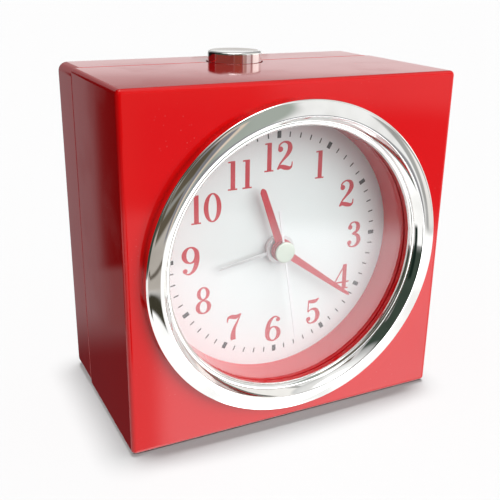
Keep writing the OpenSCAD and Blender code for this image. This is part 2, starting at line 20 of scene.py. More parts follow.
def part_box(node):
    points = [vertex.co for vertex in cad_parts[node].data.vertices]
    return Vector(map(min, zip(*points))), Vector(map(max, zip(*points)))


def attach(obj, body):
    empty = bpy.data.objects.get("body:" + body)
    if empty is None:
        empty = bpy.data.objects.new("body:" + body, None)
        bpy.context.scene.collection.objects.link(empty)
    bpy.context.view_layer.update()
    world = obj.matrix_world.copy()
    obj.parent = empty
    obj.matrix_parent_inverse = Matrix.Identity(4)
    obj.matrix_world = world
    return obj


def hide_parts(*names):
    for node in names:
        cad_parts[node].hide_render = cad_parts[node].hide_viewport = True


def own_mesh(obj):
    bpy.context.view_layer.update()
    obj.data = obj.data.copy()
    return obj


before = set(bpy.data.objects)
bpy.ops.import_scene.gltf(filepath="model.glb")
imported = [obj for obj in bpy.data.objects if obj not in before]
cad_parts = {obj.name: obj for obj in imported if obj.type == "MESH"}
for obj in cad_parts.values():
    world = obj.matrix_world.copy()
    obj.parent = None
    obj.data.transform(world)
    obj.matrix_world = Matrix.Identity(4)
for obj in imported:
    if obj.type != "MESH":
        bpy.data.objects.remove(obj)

LOG = logging.getLogger("travel_clock")
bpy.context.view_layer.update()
MM = 0.001
FRONT_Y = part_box("front_case")[0].y / MM
DIAL_Z = (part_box("bezel")[0].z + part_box("bezel")[1].z) / 2 / MM
MERGE = 1e-4

Point2 = tuple[float, float]
Outline = list[Point2]
Colour = tuple[float, float, float, float]
Value = float | Colour | Sequence[float] | bpy.types.NodeSocket


# ---------- outlines ----------


class Axis(Enum):
    """The direction in which a turned or drawn-out shape runs."""

    ACROSS = "x"
    DEPTH = "y"
    UP = "z"

    def point(self, u: float, v: float, along: float) -> Vector:
        """A point from two coordinates across the axis and one along it."""
        if self is Axis.DEPTH:
            return Vector((u, along, v))
        if self is Axis.UP:
            return Vector((u, v, along))
        return Vector((along, u, v))


def node_span(node: str, axis: int) -> tuple[float, float]:
    """The lowest and highest coordinate of a CAD node in the clock's own millimetres.

    Args:
        node: Name of the CAD node.
        axis: 0 for X, 1 for the depth, 2 for the height from the dial's centre.

    Returns:
        The lowest and the highest value.
    """
    low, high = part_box(node)
    shift = (0.0, FRONT_Y, DIAL_Z)[axis]
    return low[axis] / MM - shift, high[axis] / MM - shift


def arc(cx: float, cy: float, r: float, start: float, end: float, steps: int = 6) -> Outline:
    """Points along an arc, both ends included.

    Args:
        cx: First coordinate of the centre.
        cy: Second coordinate of the centre.
        r: Radius.
        start: First angle in degrees, counted from the first axis towards the second.
        end: Last angle in degrees.
        steps: Number of stretches.

    Returns:
        The points in order.
    """
    angles = [math.radians(start + (end - start) * i / steps) for i in range(steps + 1)]
    return [(cx + r * math.cos(a), cy + r * math.sin(a)) for a in angles]


def circle(r: float, steps: int = 96, cx: float = 0.0, cy: float = 0.0) -> Outline:
    """A closed circle of radius r."""
    return arc(cx, cy, r, 0, 360 - 360 / steps, steps - 1)


def rounded_rect(w: float, h: float, r: float, cx: float = 0.0, cy: float = 0.0, steps: int = 6) -> Outline:
    """A closed rectangle w by h with round corners of radius r about (cx, cy)."""
    r = max(r, 0.02)
    x, y = w / 2 - r, h / 2 - r
    corners = [(x, y, 0), (-x, y, 90), (-x, -y, 180), (x, -y, 270)]
    return [p for px, py, a in corners for p in arc(cx + px, cy + py, r, a, a + 90, steps)]


def turned_outline(outline: Outline, degrees: float) -> Outline:
    """The outline turned clockwise about its origin, as a hand turns seen from the front."""
    c, s = math.cos(math.radians(degrees)), math.sin(math.radians(degrees))
    return [(x * c + y * s, y * c - x * s) for x, y in outline]


# ---------- solids ----------


class Solid:
    """A closed shape in the clock's millimetres, kept as a Blender mesh."""

    def __init__(self, mesh: bpy.types.Mesh) -> None:
        """Holds the mesh that the shape is kept in."""
        self.mesh = mesh

    @classmethod
    def from_bmesh(cls, bm: bmesh.types.BMesh) -> "Solid":
        """Takes a bmesh over as a solid, with double points merged and faces turned outwards."""
        bmesh.ops.remove_doubles(bm, verts=bm.verts, dist=MERGE)
        bmesh.ops.recalc_face_normals(bm, faces=bm.faces)
        mesh = bpy.data.meshes.new("solid")
        bm.to_mesh(mesh)
        bm.free()
        return cls(mesh)

    @classmethod
    def from_rings(
        cls, rings: Sequence[Sequence[Vector]], closed: bool = False, caps: bool = True
    ) -> "Solid":
        """Skins rings that have equally many points.

        Args:
            rings: The rings in order.
            closed: True where the last ring joins the first one.
            caps: True to close the two ends with a face each.

        Returns:
            The skinned solid.
        """
        bm = bmesh.new()
        loops = [[bm.verts.new(p) for p in ring] for ring in rings]
        n = len(loops[0])
        pairs = list(zip(loops, loops[1:]))
        if closed:
            pairs.append((loops[-1], loops[0]))
        elif caps:
            bm.faces.new(loops[0])
            bm.faces.new(loops[-1])
        for a, b in pairs:
            for i in range(n):
                bm.faces.new((a[i], a[(i + 1) % n], b[(i + 1) % n], b[i]))
        return cls.from_bmesh(bm)

    @classmethod
    def lathe(
        cls,
        profile: Outline,
        axis: Axis = Axis.DEPTH,
        centre: Point2 = (0.0, 0.0),
        steps: int = 128,
    ) -> "Solid":
        """Turns a profile about an axis.

        Args:
            profile: Points as (radius, place along the axis). It either starts and ends on the axis,
                or is a closed section that stays off it.
            axis: Direction of the axis.
            centre: The two coordinates of the axis across itself.
            steps: Number of stretches round the circle.

        Returns:
            The turned solid.
        """
        turns = [2 * math.pi * i / steps for i in range(steps)]
        rings = [
            [axis.point(centre[0] + r * math.cos(a), centre[1] + r * math.sin(a), along) for a in turns]
            for r, along in profile
        ]
        on_axis = abs(profile[0][0]) < MERGE
        return cls.from_rings(rings, closed=not on_axis, caps=False)

    @classmethod
    def loft(cls, sections: Sequence[tuple[float, Outline]], axis: Axis = Axis.DEPTH) -> "Solid":
        """Draws a shape through sections given as (place along the axis, outline)."""
        return cls.from_rings([[axis.point(u, v, along) for u, v in outline] for along, outline in sections])

    @classmethod
    def prism(cls, outline: Outline, low: float, high: float, axis: Axis = Axis.DEPTH) -> "Solid":
        """An outline drawn out from low to high along an axis."""
        return cls.loft([(low, outline), (high, outline)], axis)

    @classmethod
    def eased(
        cls,
        outline: Callable[[float], Outline],
        low: float,
        high: float,
        ease_low: float,
        ease_high: float,
        axis: Axis = Axis.DEPTH,
        steps: int = 6,
    ) -> "Solid":
        """A drawn-out shape with rounded edges at its two ends.

        Args:
            outline: Gives the outline pulled in by a distance.
            low: Place of the low end.
            high: Place of the high end.
            ease_low: Rounding radius at the low end.
            ease_high: Rounding radius at the high end.
            axis: Direction in which it is drawn out.
            steps: Stretches in each rounding.

        Returns:
            The solid.
        """
        turns = [math.pi / 2 * i / steps for i in range(steps + 1)]
        sections = [
            (low + ease_low * (1 - math.cos(a)), outline(ease_low * (1 - math.sin(a)))) for a in turns
        ]
        sections += [
            (high - ease_high * (1 - math.sin(a)), outline(ease_high * (1 - math.cos(a)))) for a in turns
        ]
        return cls.loft(sections, axis)

    @classmethod
    def opening(
        cls,
        outline: Callable[[float], Outline],
        face: float,
        floor: float,
        ease: float,
        axis: Axis = Axis.DEPTH,
        steps: int = 5,
    ) -> "Solid":
        """A cutter for a hole whose mouth has a rounded edge.

        Args:
            outline: Gives the outline grown by a distance.
            face: Place of the surface that it opens in.
            floor: Place of the hole's end.
            ease: Rounding radius of the mouth.
            axis: Direction of the hole.
            steps: Stretches in the rounding.

        Returns:
            The cutter, which stands a little proud of the surface.
        """
        inwards = 1 if floor > face else -1
        turns = [math.pi / 2 * i / steps for i in range(steps + 1)]
        sections = [(face - inwards, outline(ease))]
        sections += [
            (face + inwards * ease * (1 - math.cos(a)), outline(ease * (1 - math.sin(a)))) for a in turns
        ]
        sections.append((floor, outline(0)))
        return cls.loft(sections, axis)

    @classmethod
    def group(cls, solids: Iterable["Solid"]) -> "Solid":
        """Several separate solids as one."""
        bm = bmesh.new()
        for solid in solids:
            bm.from_mesh(solid.mesh)
        mesh = bpy.data.meshes.new("solid")
        bm.to_mesh(mesh)
        bm.free()
        return cls(mesh)

    @classmethod
    def tube(cls, path: Sequence[Vector], radius: float, sides: int = 10) -> "Solid":
        """A round tube along a path.

        Args:
            path: Points along the middle line.
            radius: Radius of the tube.
            sides: Number of points round it.

        Returns:
            The closed tube.
        """
        across = None
        rings = []
        for i, p in enumerate(path):
            along = (path[min(i + 1, len(path) - 1)] - path[max(i - 1, 0)]).normalized()
            if across is None:
                across = along.orthogonal().normalized()
            across = (across - along * across.dot(along)).normalized()
            third = along.cross(across)
            angles = [2 * math.pi * j / sides for j in range(sides)]
            rings.append([p + radius * (math.cos(a) * across + math.sin(a) * third) for a in angles])
        return cls.from_rings(rings)

    def _joined(self, other: "Solid", operation: str) -> "Solid":
        """The exact boolean of this solid and another one."""
        base = bpy.data.objects.new("base", self.mesh)
        tool = bpy.data.objects.new("tool", other.mesh)
        for item in (base, tool):
            bpy.context.scene.collection.objects.link(item)
        boolean = base.modifiers.new("boolean", "BOOLEAN")
        boolean.operation = operation
        boolean.solver = "EXACT"
        boolean.object = tool
        depsgraph = bpy.context.evaluated_depsgraph_get()
        mesh = bpy.data.meshes.new_from_object(base.evaluated_get(depsgraph))
        for item in (base, tool):
            bpy.data.objects.remove(item)
        return Solid(mesh)

    def plus(self, *others: "Solid") -> "Solid":
        """This solid fused with others."""
        result = self
        for other in others:
            result = result._joined(other, "UNION")
        return result

    def minus(self, *others: "Solid") -> "Solid":
        """This solid with others cut away."""
        result = self
        for other in others:
            result = result._joined(other, "DIFFERENCE")
        return result

    def moved(self, x: float = 0.0, depth: float = 0.0, up: float = 0.0) -> "Solid":
        """A copy shifted by millimetres."""
        return self.transformed(Matrix.Translation((x, depth, up)))

    def turned(self, degrees: float) -> "Solid":
        """A copy turned clockwise about the dial's axis, seen from the front."""
        return self.transformed(Matrix.Rotation(math.radians(degrees), 4, "Y"))

    def transformed(self, matrix: Matrix) -> "Solid":
        """A copy carried by a matrix."""
        mesh = self.mesh.copy()
        mesh.transform(matrix)
        return Solid(mesh)

    def bevelled(self, width: float, steps: int = 2, angle: float = 30.0) -> "Solid":
        """A copy whose edges sharper than an angle are rounded by a small width."""
        bm = bmesh.new()
        bm.from_mesh(self.mesh)
        bmesh.ops.dissolve_limit(bm, angle_limit=math.radians(0.5), verts=bm.verts, edges=bm.edges)
        sharp = [e for e in bm.edges if e.is_manifold and e.calc_face_angle(0) > math.radians(angle)]
        bmesh.ops.bevel(
            bm, geom=sharp, offset=width, segments=steps, affect="EDGES", profile=0.5, clamp_overlap=True
        )
        return Solid.from_bmesh(bm)


# ---------- shader graphs ----------


def srgb(code: str) -> Colour:
    """A linear colour from a six-digit screen colour."""
    parts = [int(code[i : i + 2], 16) / 255 for i in (0, 2, 4)]
    linear = [c / 12.92 if c <= 0.04045 else ((c + 0.055) / 1.055) ** 2.4 for c in parts]
    return (*linear, 1.0)


class Graph:
    """A node tree with short ways to add and join nodes."""

    def __init__(self, tree: bpy.types.NodeTree) -> None:
        """Holds the tree that nodes are added to."""
        self.tree = tree

    def add(
        self, kind: str, inputs: dict[str | int, Value] | None = None, **settings: object
    ) -> bpy.types.Node:
        """Adds a node.

        Args:
            kind: Blender's name of the node type.
            inputs: Values or output sockets for its inputs, by name or number.
            **settings: Properties of the node itself.

        Returns:
            The node.
        """
        node = self.tree.nodes.new(kind)
        for key, value in settings.items():
            setattr(node, key, value)
        for key, value in (inputs or {}).items():
            if isinstance(value, bpy.types.NodeSocket):
                self.tree.links.new(value, node.inputs[key])
            else:
                node.inputs[key].default_value = value
        return node

    def math(self, operation: str, a: Value, b: Value = 0.0, clamp: bool = False) -> bpy.types.NodeSocket:
        """The output of a Math node over one or two values."""
        return self.add("ShaderNodeMath", {0: a, 1: b}, operation=operation, use_clamp=clamp).outputs[0]

    def mix(self, share: Value, a: Value, b: Value) -> bpy.types.NodeSocket:
        """A colour between a and b."""
        return self.add("ShaderNodeMix", {0: share, 6: a, 7: b}, data_type="RGBA").outputs[2]

    def spread(
        self, value: Value, low: float, high: float, to_low: float = 0.0, to_high: float = 1.0
    ) -> bpy.types.NodeSocket:
        """The value carried smoothly from the range low to high into another range."""
        inputs = {0: value, 1: low, 2: high, 3: to_low, 4: to_high}
        return self.add("ShaderNodeMapRange", inputs, interpolation_type="SMOOTHSTEP").outputs[0]

    def noise(self, size: Value, detail: float = 3.0, place: Value | None = None) -> bpy.types.NodeSocket:
        """Noise from 0 to 1 whose blotches are about size metres wide."""
        where = place or self.add("ShaderNodeTexCoord").outputs["Object"]
        scale = self.math("DIVIDE", 1.0, size)
        return self.add("ShaderNodeTexNoise", {"Vector": where, "Scale": scale, "Detail": detail}).outputs[0]


class Effect(Enum):
    """The surface effects that several finishes share, each one a node group."""

    GRAIN = "moulded_grain"
    HANDLING = "handling_marks"
    # Edge mask: edge wear on the matte plastics, a painted highlight on the glossy plastic.
    EDGES = "edge_wear"

    @property
    def group(self) -> bpy.types.NodeTree:
        """The node group, built the first time it is asked for."""
        made = bpy.data.node_groups.get(self.value)
        makers = {Effect.GRAIN: grain_group, Effect.HANDLING: handling_group, Effect.EDGES: edge_group}
        return made or makers[self]()


def new_group(
    name: str, inputs: dict[str, float], outputs: Sequence[str]
) -> tuple[Graph, bpy.types.Node, bpy.types.Node]:
    """Starts a node group of plain values.

    Args:
        name: Name of the group.
        inputs: Input sockets with their usual values.
        outputs: Names of the output sockets.

    Returns:
        The group's graph, its input node and its output node.
    """
    tree = bpy.data.node_groups.new(name, "ShaderNodeTree")
    for title, usual in inputs.items():
        socket = tree.interface.new_socket(title, in_out="INPUT", socket_type="NodeSocketFloat")
        socket.default_value = usual
    for title in outputs:
        tree.interface.new_socket(title, in_out="OUTPUT", socket_type="NodeSocketFloat")
    graph = Graph(tree)
    return graph, graph.add("NodeGroupInput"), graph.add("NodeGroupOutput")


def grain_group() -> bpy.types.NodeTree:
    """Fine relief of a moulded skin: a height, and a slow drift for colour and gloss."""
    graph, given, made = new_group("moulded_grain", {"Size": 0.0003, "Drift": 0.02}, ["Height", "Drift"])
    fine = graph.noise(given.outputs["Size"], 4.0)
    coarse = graph.noise(graph.math("MULTIPLY", given.outputs["Size"], 4.0), 2.0)
    height = graph.math("ADD", graph.math("MULTIPLY", fine, 0.6), graph.math("MULTIPLY", coarse, 0.4))
    graph.tree.links.new(height, made.inputs["Height"])
    graph.tree.links.new(graph.noise(given.outputs["Drift"], 2.0), made.inputs["Drift"])
    return graph.tree


def handling_group() -> bpy.types.NodeTree:
    """Marks of use: soft smudges, specks of dust that lie on upward faces, and hairline scratches."""
    graph, given, made = new_group("handling_marks", {"Size": 0.012}, ["Smudge", "Dust", "Scratch"])
    smudge = graph.spread(graph.noise(given.outputs["Size"], 5.0), 0.45, 0.75)
    where = graph.add("ShaderNodeTexCoord").outputs["Object"]
    specks = graph.add(
        "ShaderNodeTexVoronoi", {"Vector": where, "Scale": 700.0}, feature="F1"
    ).outputs["Distance"]
    speck = graph.spread(specks, 0.16, 0.08)
    patchy = graph.spread(graph.noise(graph.math("MULTIPLY", given.outputs["Size"], 1.5), 3.0), 0.5, 0.7)
    upward = graph.add(
        "ShaderNodeSeparateXYZ", {0: graph.add("ShaderNodeNewGeometry").outputs["Normal"]}
    ).outputs[2]
    lying = graph.spread(upward, 0.1, 0.9, 0.25, 1.0)
    dust = graph.math("MULTIPLY", graph.math("MULTIPLY", speck, patchy), lying)
    stretched = graph.add(
        "ShaderNodeMapping", {"Vector": where, "Rotation": (0.3, 0.5, 0.9), "Scale": (60.0, 1600.0, 1600.0)}
    ).outputs[0]
    lines = graph.add("ShaderNodeTexNoise", {"Vector": stretched, "Scale": 1.0, "Detail": 1.0}).outputs[0]
    scratch = graph.math("MULTIPLY", graph.spread(lines, 0.74, 0.8), patchy)
    for title, socket in (("Smudge", smudge), ("Dust", dust), ("Scratch", scratch)):
        graph.tree.links.new(socket, made.inputs[title])
    return graph.tree


def edge_group() -> bpy.types.NodeTree:
    """How near a point is to a convex or concave edge, from 0 to 1, broken up by noise."""
    graph, given, made = new_group("edge_wear", {"Radius": 0.0006, "Breakup": 0.5}, ["Edge"])
    rounded = graph.add("ShaderNodeBevel", {"Radius": given.outputs["Radius"]}, samples=4).outputs[0]
    true = graph.add("ShaderNodeNewGeometry").outputs["Normal"]
    same = graph.add("ShaderNodeVectorMath", {0: rounded, 1: true}, operation="DOT_PRODUCT").outputs["Value"]
    near = graph.spread(same, 0.99, 0.85)
    broken = graph.spread(graph.noise(0.0015, 4.0), 0.35, 0.65)
    kept = graph.math("SUBTRACT", 1.0, graph.math("MULTIPLY", given.outputs["Breakup"], broken))
    graph.tree.links.new(graph.math("MULTIPLY", near, kept), made.inputs["Edge"])
    return graph.tree


# ---------- finishes ----------


@dataclass(frozen=True)
class Finish:
    """A named finish; its material is built once and shared by the pieces that wear it."""

    name: str

    @property
    def material(self) -> bpy.types.Material:
        """The finish's Blender material."""
        made = bpy.data.materials.get(self.name)
        if made:
            return made
        made = bpy.data.materials.new(self.name)
        made.use_nodes = True
        graph = Graph(made.node_tree)
        self.build(graph, made.node_tree.nodes["Principled BSDF"])
        return made

    def build(self, graph: Graph, shader: bpy.types.Node) -> None:
        """Wires the material's nodes."""
        raise NotImplementedError

    @staticmethod
    def effect(graph: Graph, effect: Effect, inputs: dict[str, float]) -> bpy.types.Node:
        """Places one of the shared effects with its own values."""
        node = graph.add("ShaderNodeGroup", node_tree=effect.group)
        for title, value in inputs.items():
            node.inputs[title].default_value = value
        return node

    @staticmethod
    def join(graph: Graph, shader: bpy.types.Node, sockets: dict[str, bpy.types.NodeSocket]) -> None:
        """Feeds sockets into the shader's inputs by name."""
        for title, socket in sockets.items():
            graph.tree.links.new(socket, shader.inputs[title])

    @staticmethod
    def bump(graph: Graph, height: bpy.types.NodeSocket, depth: float) -> bpy.types.NodeSocket:
        """A normal that gives a height from 0 to 1 a relief of depth metres."""
        return graph.add("ShaderNodeBump", {"Height": height, "Distance": depth, "Strength": 1.0}).outputs[0]


@dataclass(frozen=True)
class GlossPlastic(Finish):
    """Polished injection-moulded plastic with a deep colour."""

    colour: str = "d2060b"
    shade: str = "c80509"
    roughness: float = 0.06
    relief: float = 8e-7

    def build(self, graph: Graph, shader: bpy.types.Node) -> None:
        """Wires the polished skin: slow colour drift, smudges, dust, hairlines, and a painted highlight that
        turns the rounded edges pale pink.
        """
        grain = self.effect(graph, Effect.GRAIN, {"Size": 0.0022, "Drift": 0.03})
        marks = self.effect(graph, Effect.HANDLING, {"Size": 0.014})
        edge = self.effect(graph, Effect.EDGES, {"Radius": 0.0005, "Breakup": 0.5})
        body = graph.mix(grain.outputs["Drift"], srgb(self.colour), srgb(self.shade))
        # Painted highlight: the rounded edges are mixed towards pale pink, standing in for the bright line
        # that they reflect.
        worn_and_lit_edges = graph.mix(graph.math("MULTIPLY", edge.outputs["Edge"], 0.35), body, srgb("f49a98"))
        dusty = graph.mix(graph.math("MULTIPLY", marks.outputs["Dust"], 0.18), worn_and_lit_edges, srgb("e8d8d4"))
        rough = graph.math("ADD", graph.math("MULTIPLY", marks.outputs["Smudge"], 0.05), self.roughness)
        rough = graph.math("ADD", rough, graph.math("MULTIPLY", marks.outputs["Scratch"], 0.08))
        normal = self.bump(graph, grain.outputs["Height"], self.relief)
        self.join(graph, shader, {"Base Color": dusty, "Roughness": rough, "Normal": normal})
        shader.inputs["IOR"].default_value = 1.43


@dataclass(frozen=True)
class MattePlastic(Finish):
    """Plain moulded plastic with a fine spark-eroded grain."""

    colour: str = "e8e6e0"
    roughness: float = 0.45
    relief: float = 6e-6
    edge: float = 0.2

    def build(self, graph: Graph, shader: bpy.types.Node) -> None:
        """Wires the grain, the drift of colour and gloss, dust and paler edges."""
        grain = self.effect(graph, Effect.GRAIN, {"Size": 0.0002, "Drift": 0.008})
        marks = self.effect(graph, Effect.HANDLING, {"Size": 0.006})
        edge = self.effect(graph, Effect.EDGES, {"Radius": 0.0003, "Breakup": 0.6})
        base = srgb(self.colour)
        deep = tuple(0.82 * c for c in base[:3]) + (1.0,)
        pale = tuple(min(1.0, c + 0.25) for c in base[:3]) + (1.0,)
        body = graph.mix(grain.outputs["Drift"], base, deep)
        worn_and_lit_edges = graph.mix(graph.math("MULTIPLY", edge.outputs["Edge"], self.edge), body, pale)
        dusty = graph.mix(graph.math("MULTIPLY", marks.outputs["Dust"], 0.25), worn_and_lit_edges, srgb("d8d4cc"))
        rough = graph.math("ADD", graph.math("MULTIPLY", marks.outputs["Smudge"], -0.08), self.roughness)
        normal = self.bump(graph, grain.outputs["Height"], self.relief)
        self.join(graph, shader, {"Base Color": dusty, "Roughness": rough, "Normal": normal})


@dataclass(frozen=True)
class Plated(Finish):
    """Bright plating or bare metal."""

    colour: str = "f2f2f0"
    stain: str = "b8b6b0"
    roughness: float = 0.03
    relief: float = 6e-7
    lines: float = 0.0

    def build(self, graph: Graph, shader: bpy.types.Node) -> None:
        """Wires the metal's tone, smudges, hairlines and, where it is rolled or drawn, its lines."""
        marks = self.effect(graph, Effect.HANDLING, {"Size": 0.008})
        grain = self.effect(graph, Effect.GRAIN, {"Size": 0.0012, "Drift": 0.01})
        drift = graph.spread(grain.outputs["Drift"], 0.4, 0.8, 0.0, 0.35)
        tone = graph.mix(drift, srgb(self.colour), srgb(self.stain))
        rough = graph.math("ADD", graph.math("MULTIPLY", marks.outputs["Smudge"], 0.05), self.roughness)
        rough = graph.math("ADD", rough, graph.math("MULTIPLY", marks.outputs["Scratch"], 0.12))
        height = grain.outputs["Height"]
        if self.lines:
            where = graph.add("ShaderNodeTexCoord").outputs["Object"]
            drawn = graph.add(
                "ShaderNodeMapping", {"Vector": where, "Scale": (300.0, 9000.0, 9000.0)}
            ).outputs[0]
            height = graph.add(
                "ShaderNodeTexNoise", {"Vector": drawn, "Scale": 1.0, "Detail": 3.0}
            ).outputs[0]
            rough = graph.math("ADD", rough, graph.math("MULTIPLY", height, self.lines))
        self.join(
            graph,
            shader,
            {"Base Color": tone, "Roughness": rough, "Normal": self.bump(graph, height, self.relief)},
        )
        shader.inputs["Metallic"].default_value = 1.0


@dataclass(frozen=True)
class ClearLens(Finish):
    """Clear polished plastic that lets light straight through to what lies behind it."""

    def build(self, graph: Graph, shader: bpy.types.Node) -> None:
        """Wires clear plastic that throws no hard shadow, with faint smudges."""
        shader.inputs["Base Color"].default_value = (1.0, 1.0, 1.0, 1.0)
        shader.inputs["Transmission Weight"].default_value = 1.0
        shader.inputs["IOR"].default_value = 1.58
        marks = self.effect(graph, Effect.HANDLING, {"Size": 0.016})
        rough = graph.math("MULTIPLY", marks.outputs["Smudge"], 0.015)
        self.join(graph, shader, {"Roughness": rough})
        path = graph.add("ShaderNodeLightPath")
        passing = graph.math("MAXIMUM", path.outputs["Is Shadow Ray"], path.outputs["Is Diffuse Ray"])
        clear = graph.add("ShaderNodeBsdfTransparent")
        both = graph.add("ShaderNodeMixShader", {0: passing, 1: shader.outputs[0], 2: clear.outputs[0]})
        out = next(n for n in graph.tree.nodes if n.type == "OUTPUT_MATERIAL")
        graph.tree.links.new(both.outputs[0], out.inputs["Surface"])


@dataclass(frozen=True)
class Printed(Finish):
    """Ink or lacquer laid on in a thin even coat."""

    colour: str = "b4202c"
    fade: str = "c04450"
    roughness: float = 0.4
    metallic: float = 0.0

    def build(self, graph: Graph, shader: bpy.types.Node) -> None:
        """Wires the coat's colour with its slight unevenness and speckle."""
        grain = self.effect(graph, Effect.GRAIN, {"Size": 0.00018, "Drift": 0.004})
        uneven = graph.spread(grain.outputs["Drift"], 0.35, 0.75)
        tone = graph.mix(graph.math("MULTIPLY", uneven, 0.6), srgb(self.colour), srgb(self.fade))
        rough = graph.math("ADD", graph.math("MULTIPLY", grain.outputs["Height"], 0.1), self.roughness)
        normal = self.bump(graph, grain.outputs["Height"], 2e-6)
        self.join(graph, shader, {"Base Color": tone, "Roughness": rough, "Normal": normal})
        shader.inputs["Metallic"].default_value = self.metallic


@dataclass(frozen=True)
class DialFace(Finish):
    """Satin white dial sheet with painted shade that greys it towards its rim, inside the ring's recess."""

    rim: float = 0.0345

    def build(self, graph: Graph, shader: bpy.types.Node) -> None:
        """Wires the white sheet's fine tooth and the painted shade that greys it towards the rim."""
        grain = self.effect(graph, Effect.GRAIN, {"Size": 0.00025, "Drift": 0.015})
        where = graph.add("ShaderNodeTexCoord").outputs["Object"]
        centred = graph.add(
            "ShaderNodeVectorMath", {0: where, 1: (0.0, 0.0, DIAL_Z * MM)}, operation="SUBTRACT"
        ).outputs[0]
        parts = graph.add("ShaderNodeSeparateXYZ", {0: centred})
        flat = graph.add("ShaderNodeCombineXYZ", {0: parts.outputs[0], 2: parts.outputs[2]}).outputs[0]
        radius = graph.add("ShaderNodeVectorMath", {0: flat}, operation="LENGTH").outputs["Value"]
        # Painted shade: the sheet turns greyer over its outer part, where the tunnel wall shades it.
        share = graph.spread(radius, self.rim * 0.8, self.rim, 0.0, 0.5)
        white = graph.mix(share, srgb("d5dddc"), srgb("c5cccd"))
        tone = graph.mix(graph.spread(grain.outputs["Drift"], 0.3, 0.8, 0.0, 0.25), white, srgb("cfd8d8"))
        normal = self.bump(graph, grain.outputs["Height"], 1e-6)
        rough = graph.math("ADD", graph.math("MULTIPLY", grain.outputs["Height"], 0.1), 0.42)
        self.join(graph, shader, {"Base Color": tone, "Roughness": rough, "Normal": normal})


@dataclass(frozen=True)
class WoundWire(Finish):
    """Enamelled copper wire wound in close layers about an upright bobbin."""

    pitch: float = 0.00012

    def build(self, graph: Graph, shader: bpy.types.Node) -> None:
        """Wires the turns as fine ridges across the bobbin's axis, with painted shade in the grooves between
        turns and a painted highlight on their crests.
        """
        where = graph.add("ShaderNodeTexCoord").outputs["Object"]
        up = graph.add("ShaderNodeSeparateXYZ", {0: where}).outputs[2]
        wobble = graph.math("MULTIPLY", graph.noise(0.002, 2.0), self.pitch * 0.6)
        turns = graph.math("DIVIDE", graph.math("ADD", up, wobble), self.pitch / (2 * math.pi))
        ridge = graph.math("ABSOLUTE", graph.math("SINE", graph.math("MULTIPLY", turns, 0.5)))
        # Painted shade and highlight: dark copper in the grooves between turns, pale copper on their crests.
        tone = graph.mix(ridge, srgb("5c2410"), srgb("d0703a"))
        self.join(graph, shader, {"Base Color": tone, "Normal": self.bump(graph, ridge, 4e-5)})
        shader.inputs["Metallic"].default_value = 0.9
        shader.inputs["Roughness"].default_value = 0.28


@dataclass(frozen=True)
class CircuitLaminate(Finish):
    """Green solder resist over copper tracks."""

    def build(self, graph: Graph, shader: bpy.types.Node) -> None:
        """Wires the tracks as paler lanes under the resist, and scattered solder pads."""
        where = graph.add("ShaderNodeTexCoord").outputs["Object"]
        lanes = graph.add(
            "ShaderNodeMapping", {"Vector": where, "Rotation": (math.pi / 2, 0.0, 0.0)}
        ).outputs[0]
        brick = graph.add(
            "ShaderNodeTexBrick",
            {"Vector": lanes, "Scale": 220.0, "Mortar Size": 0.035, "Brick Width": 1.2, "Row Height": 0.35},
        ).outputs["Fac"]
        cells = graph.add("ShaderNodeTexVoronoi", {"Vector": where, "Scale": 420.0}).outputs["Distance"]
        pad = graph.spread(cells, 0.2, 0.16)
        resist = graph.mix(brick, srgb("14512c"), srgb("2f8a4c"))
        tone = graph.mix(pad, resist, srgb("c8ccd0"))
        height = graph.math("ADD", brick, pad, clamp=True)
        self.join(
            graph, shader, {"Base Color": tone, "Metallic": pad, "Normal": self.bump(graph, height, 3e-5)}
        )
        shader.inputs["Roughness"].default_value = 0.3


@dataclass(frozen=True)
class BatterySleeve(Finish):
    """Shrunk printed sleeve of a cell: a dark body and a copper band at the plus end."""

    band_from: float = 0.016

    def build(self, graph: Graph, shader: bpy.types.Node) -> None:
        """Wires the two printed zones along the cell and the bare metal of its ends."""
        where = graph.add("ShaderNodeTexCoord").outputs["Object"]
        along = graph.add("ShaderNodeSeparateXYZ", {0: where}).outputs[0]
        band = graph.spread(along, self.band_from, self.band_from + 0.0002)
        line = graph.spread(along, self.band_from - 0.0012, self.band_from - 0.0011)
        grain = self.effect(graph, Effect.GRAIN, {"Size": 0.0008, "Drift": 0.01})
        body = graph.mix(grain.outputs["Drift"], srgb("1b1d22"), srgb("262930"))
        lined = graph.mix(line, body, srgb("d8d4c8"))
        tone = graph.mix(band, lined, srgb("b9743a"))
        normal = self.bump(graph, grain.outputs["Height"], 6e-6)
        self.join(
            graph,
            shader,
            {"Base Color": tone, "Metallic": graph.math("MULTIPLY", band, 0.9), "Normal": normal},
        )
        shader.inputs["Roughness"].default_value = 0.22


@dataclass(frozen=True)
class Backdrop(Finish):
    """Matt paper that its own strong light turns white, so that little of the clock's red shows in it."""

    albedo: float = 0.16

    def build(self, graph: Graph, shader: bpy.types.Node) -> None:
        """Sets the paper's plain values."""
        shader.inputs["Base Color"].default_value = (self.albedo, self.albedo, self.albedo, 1.0)
        shader.inputs["Roughness"].default_value = 0.9
        shader.inputs["Specular IOR Level"].default_value = 0.0


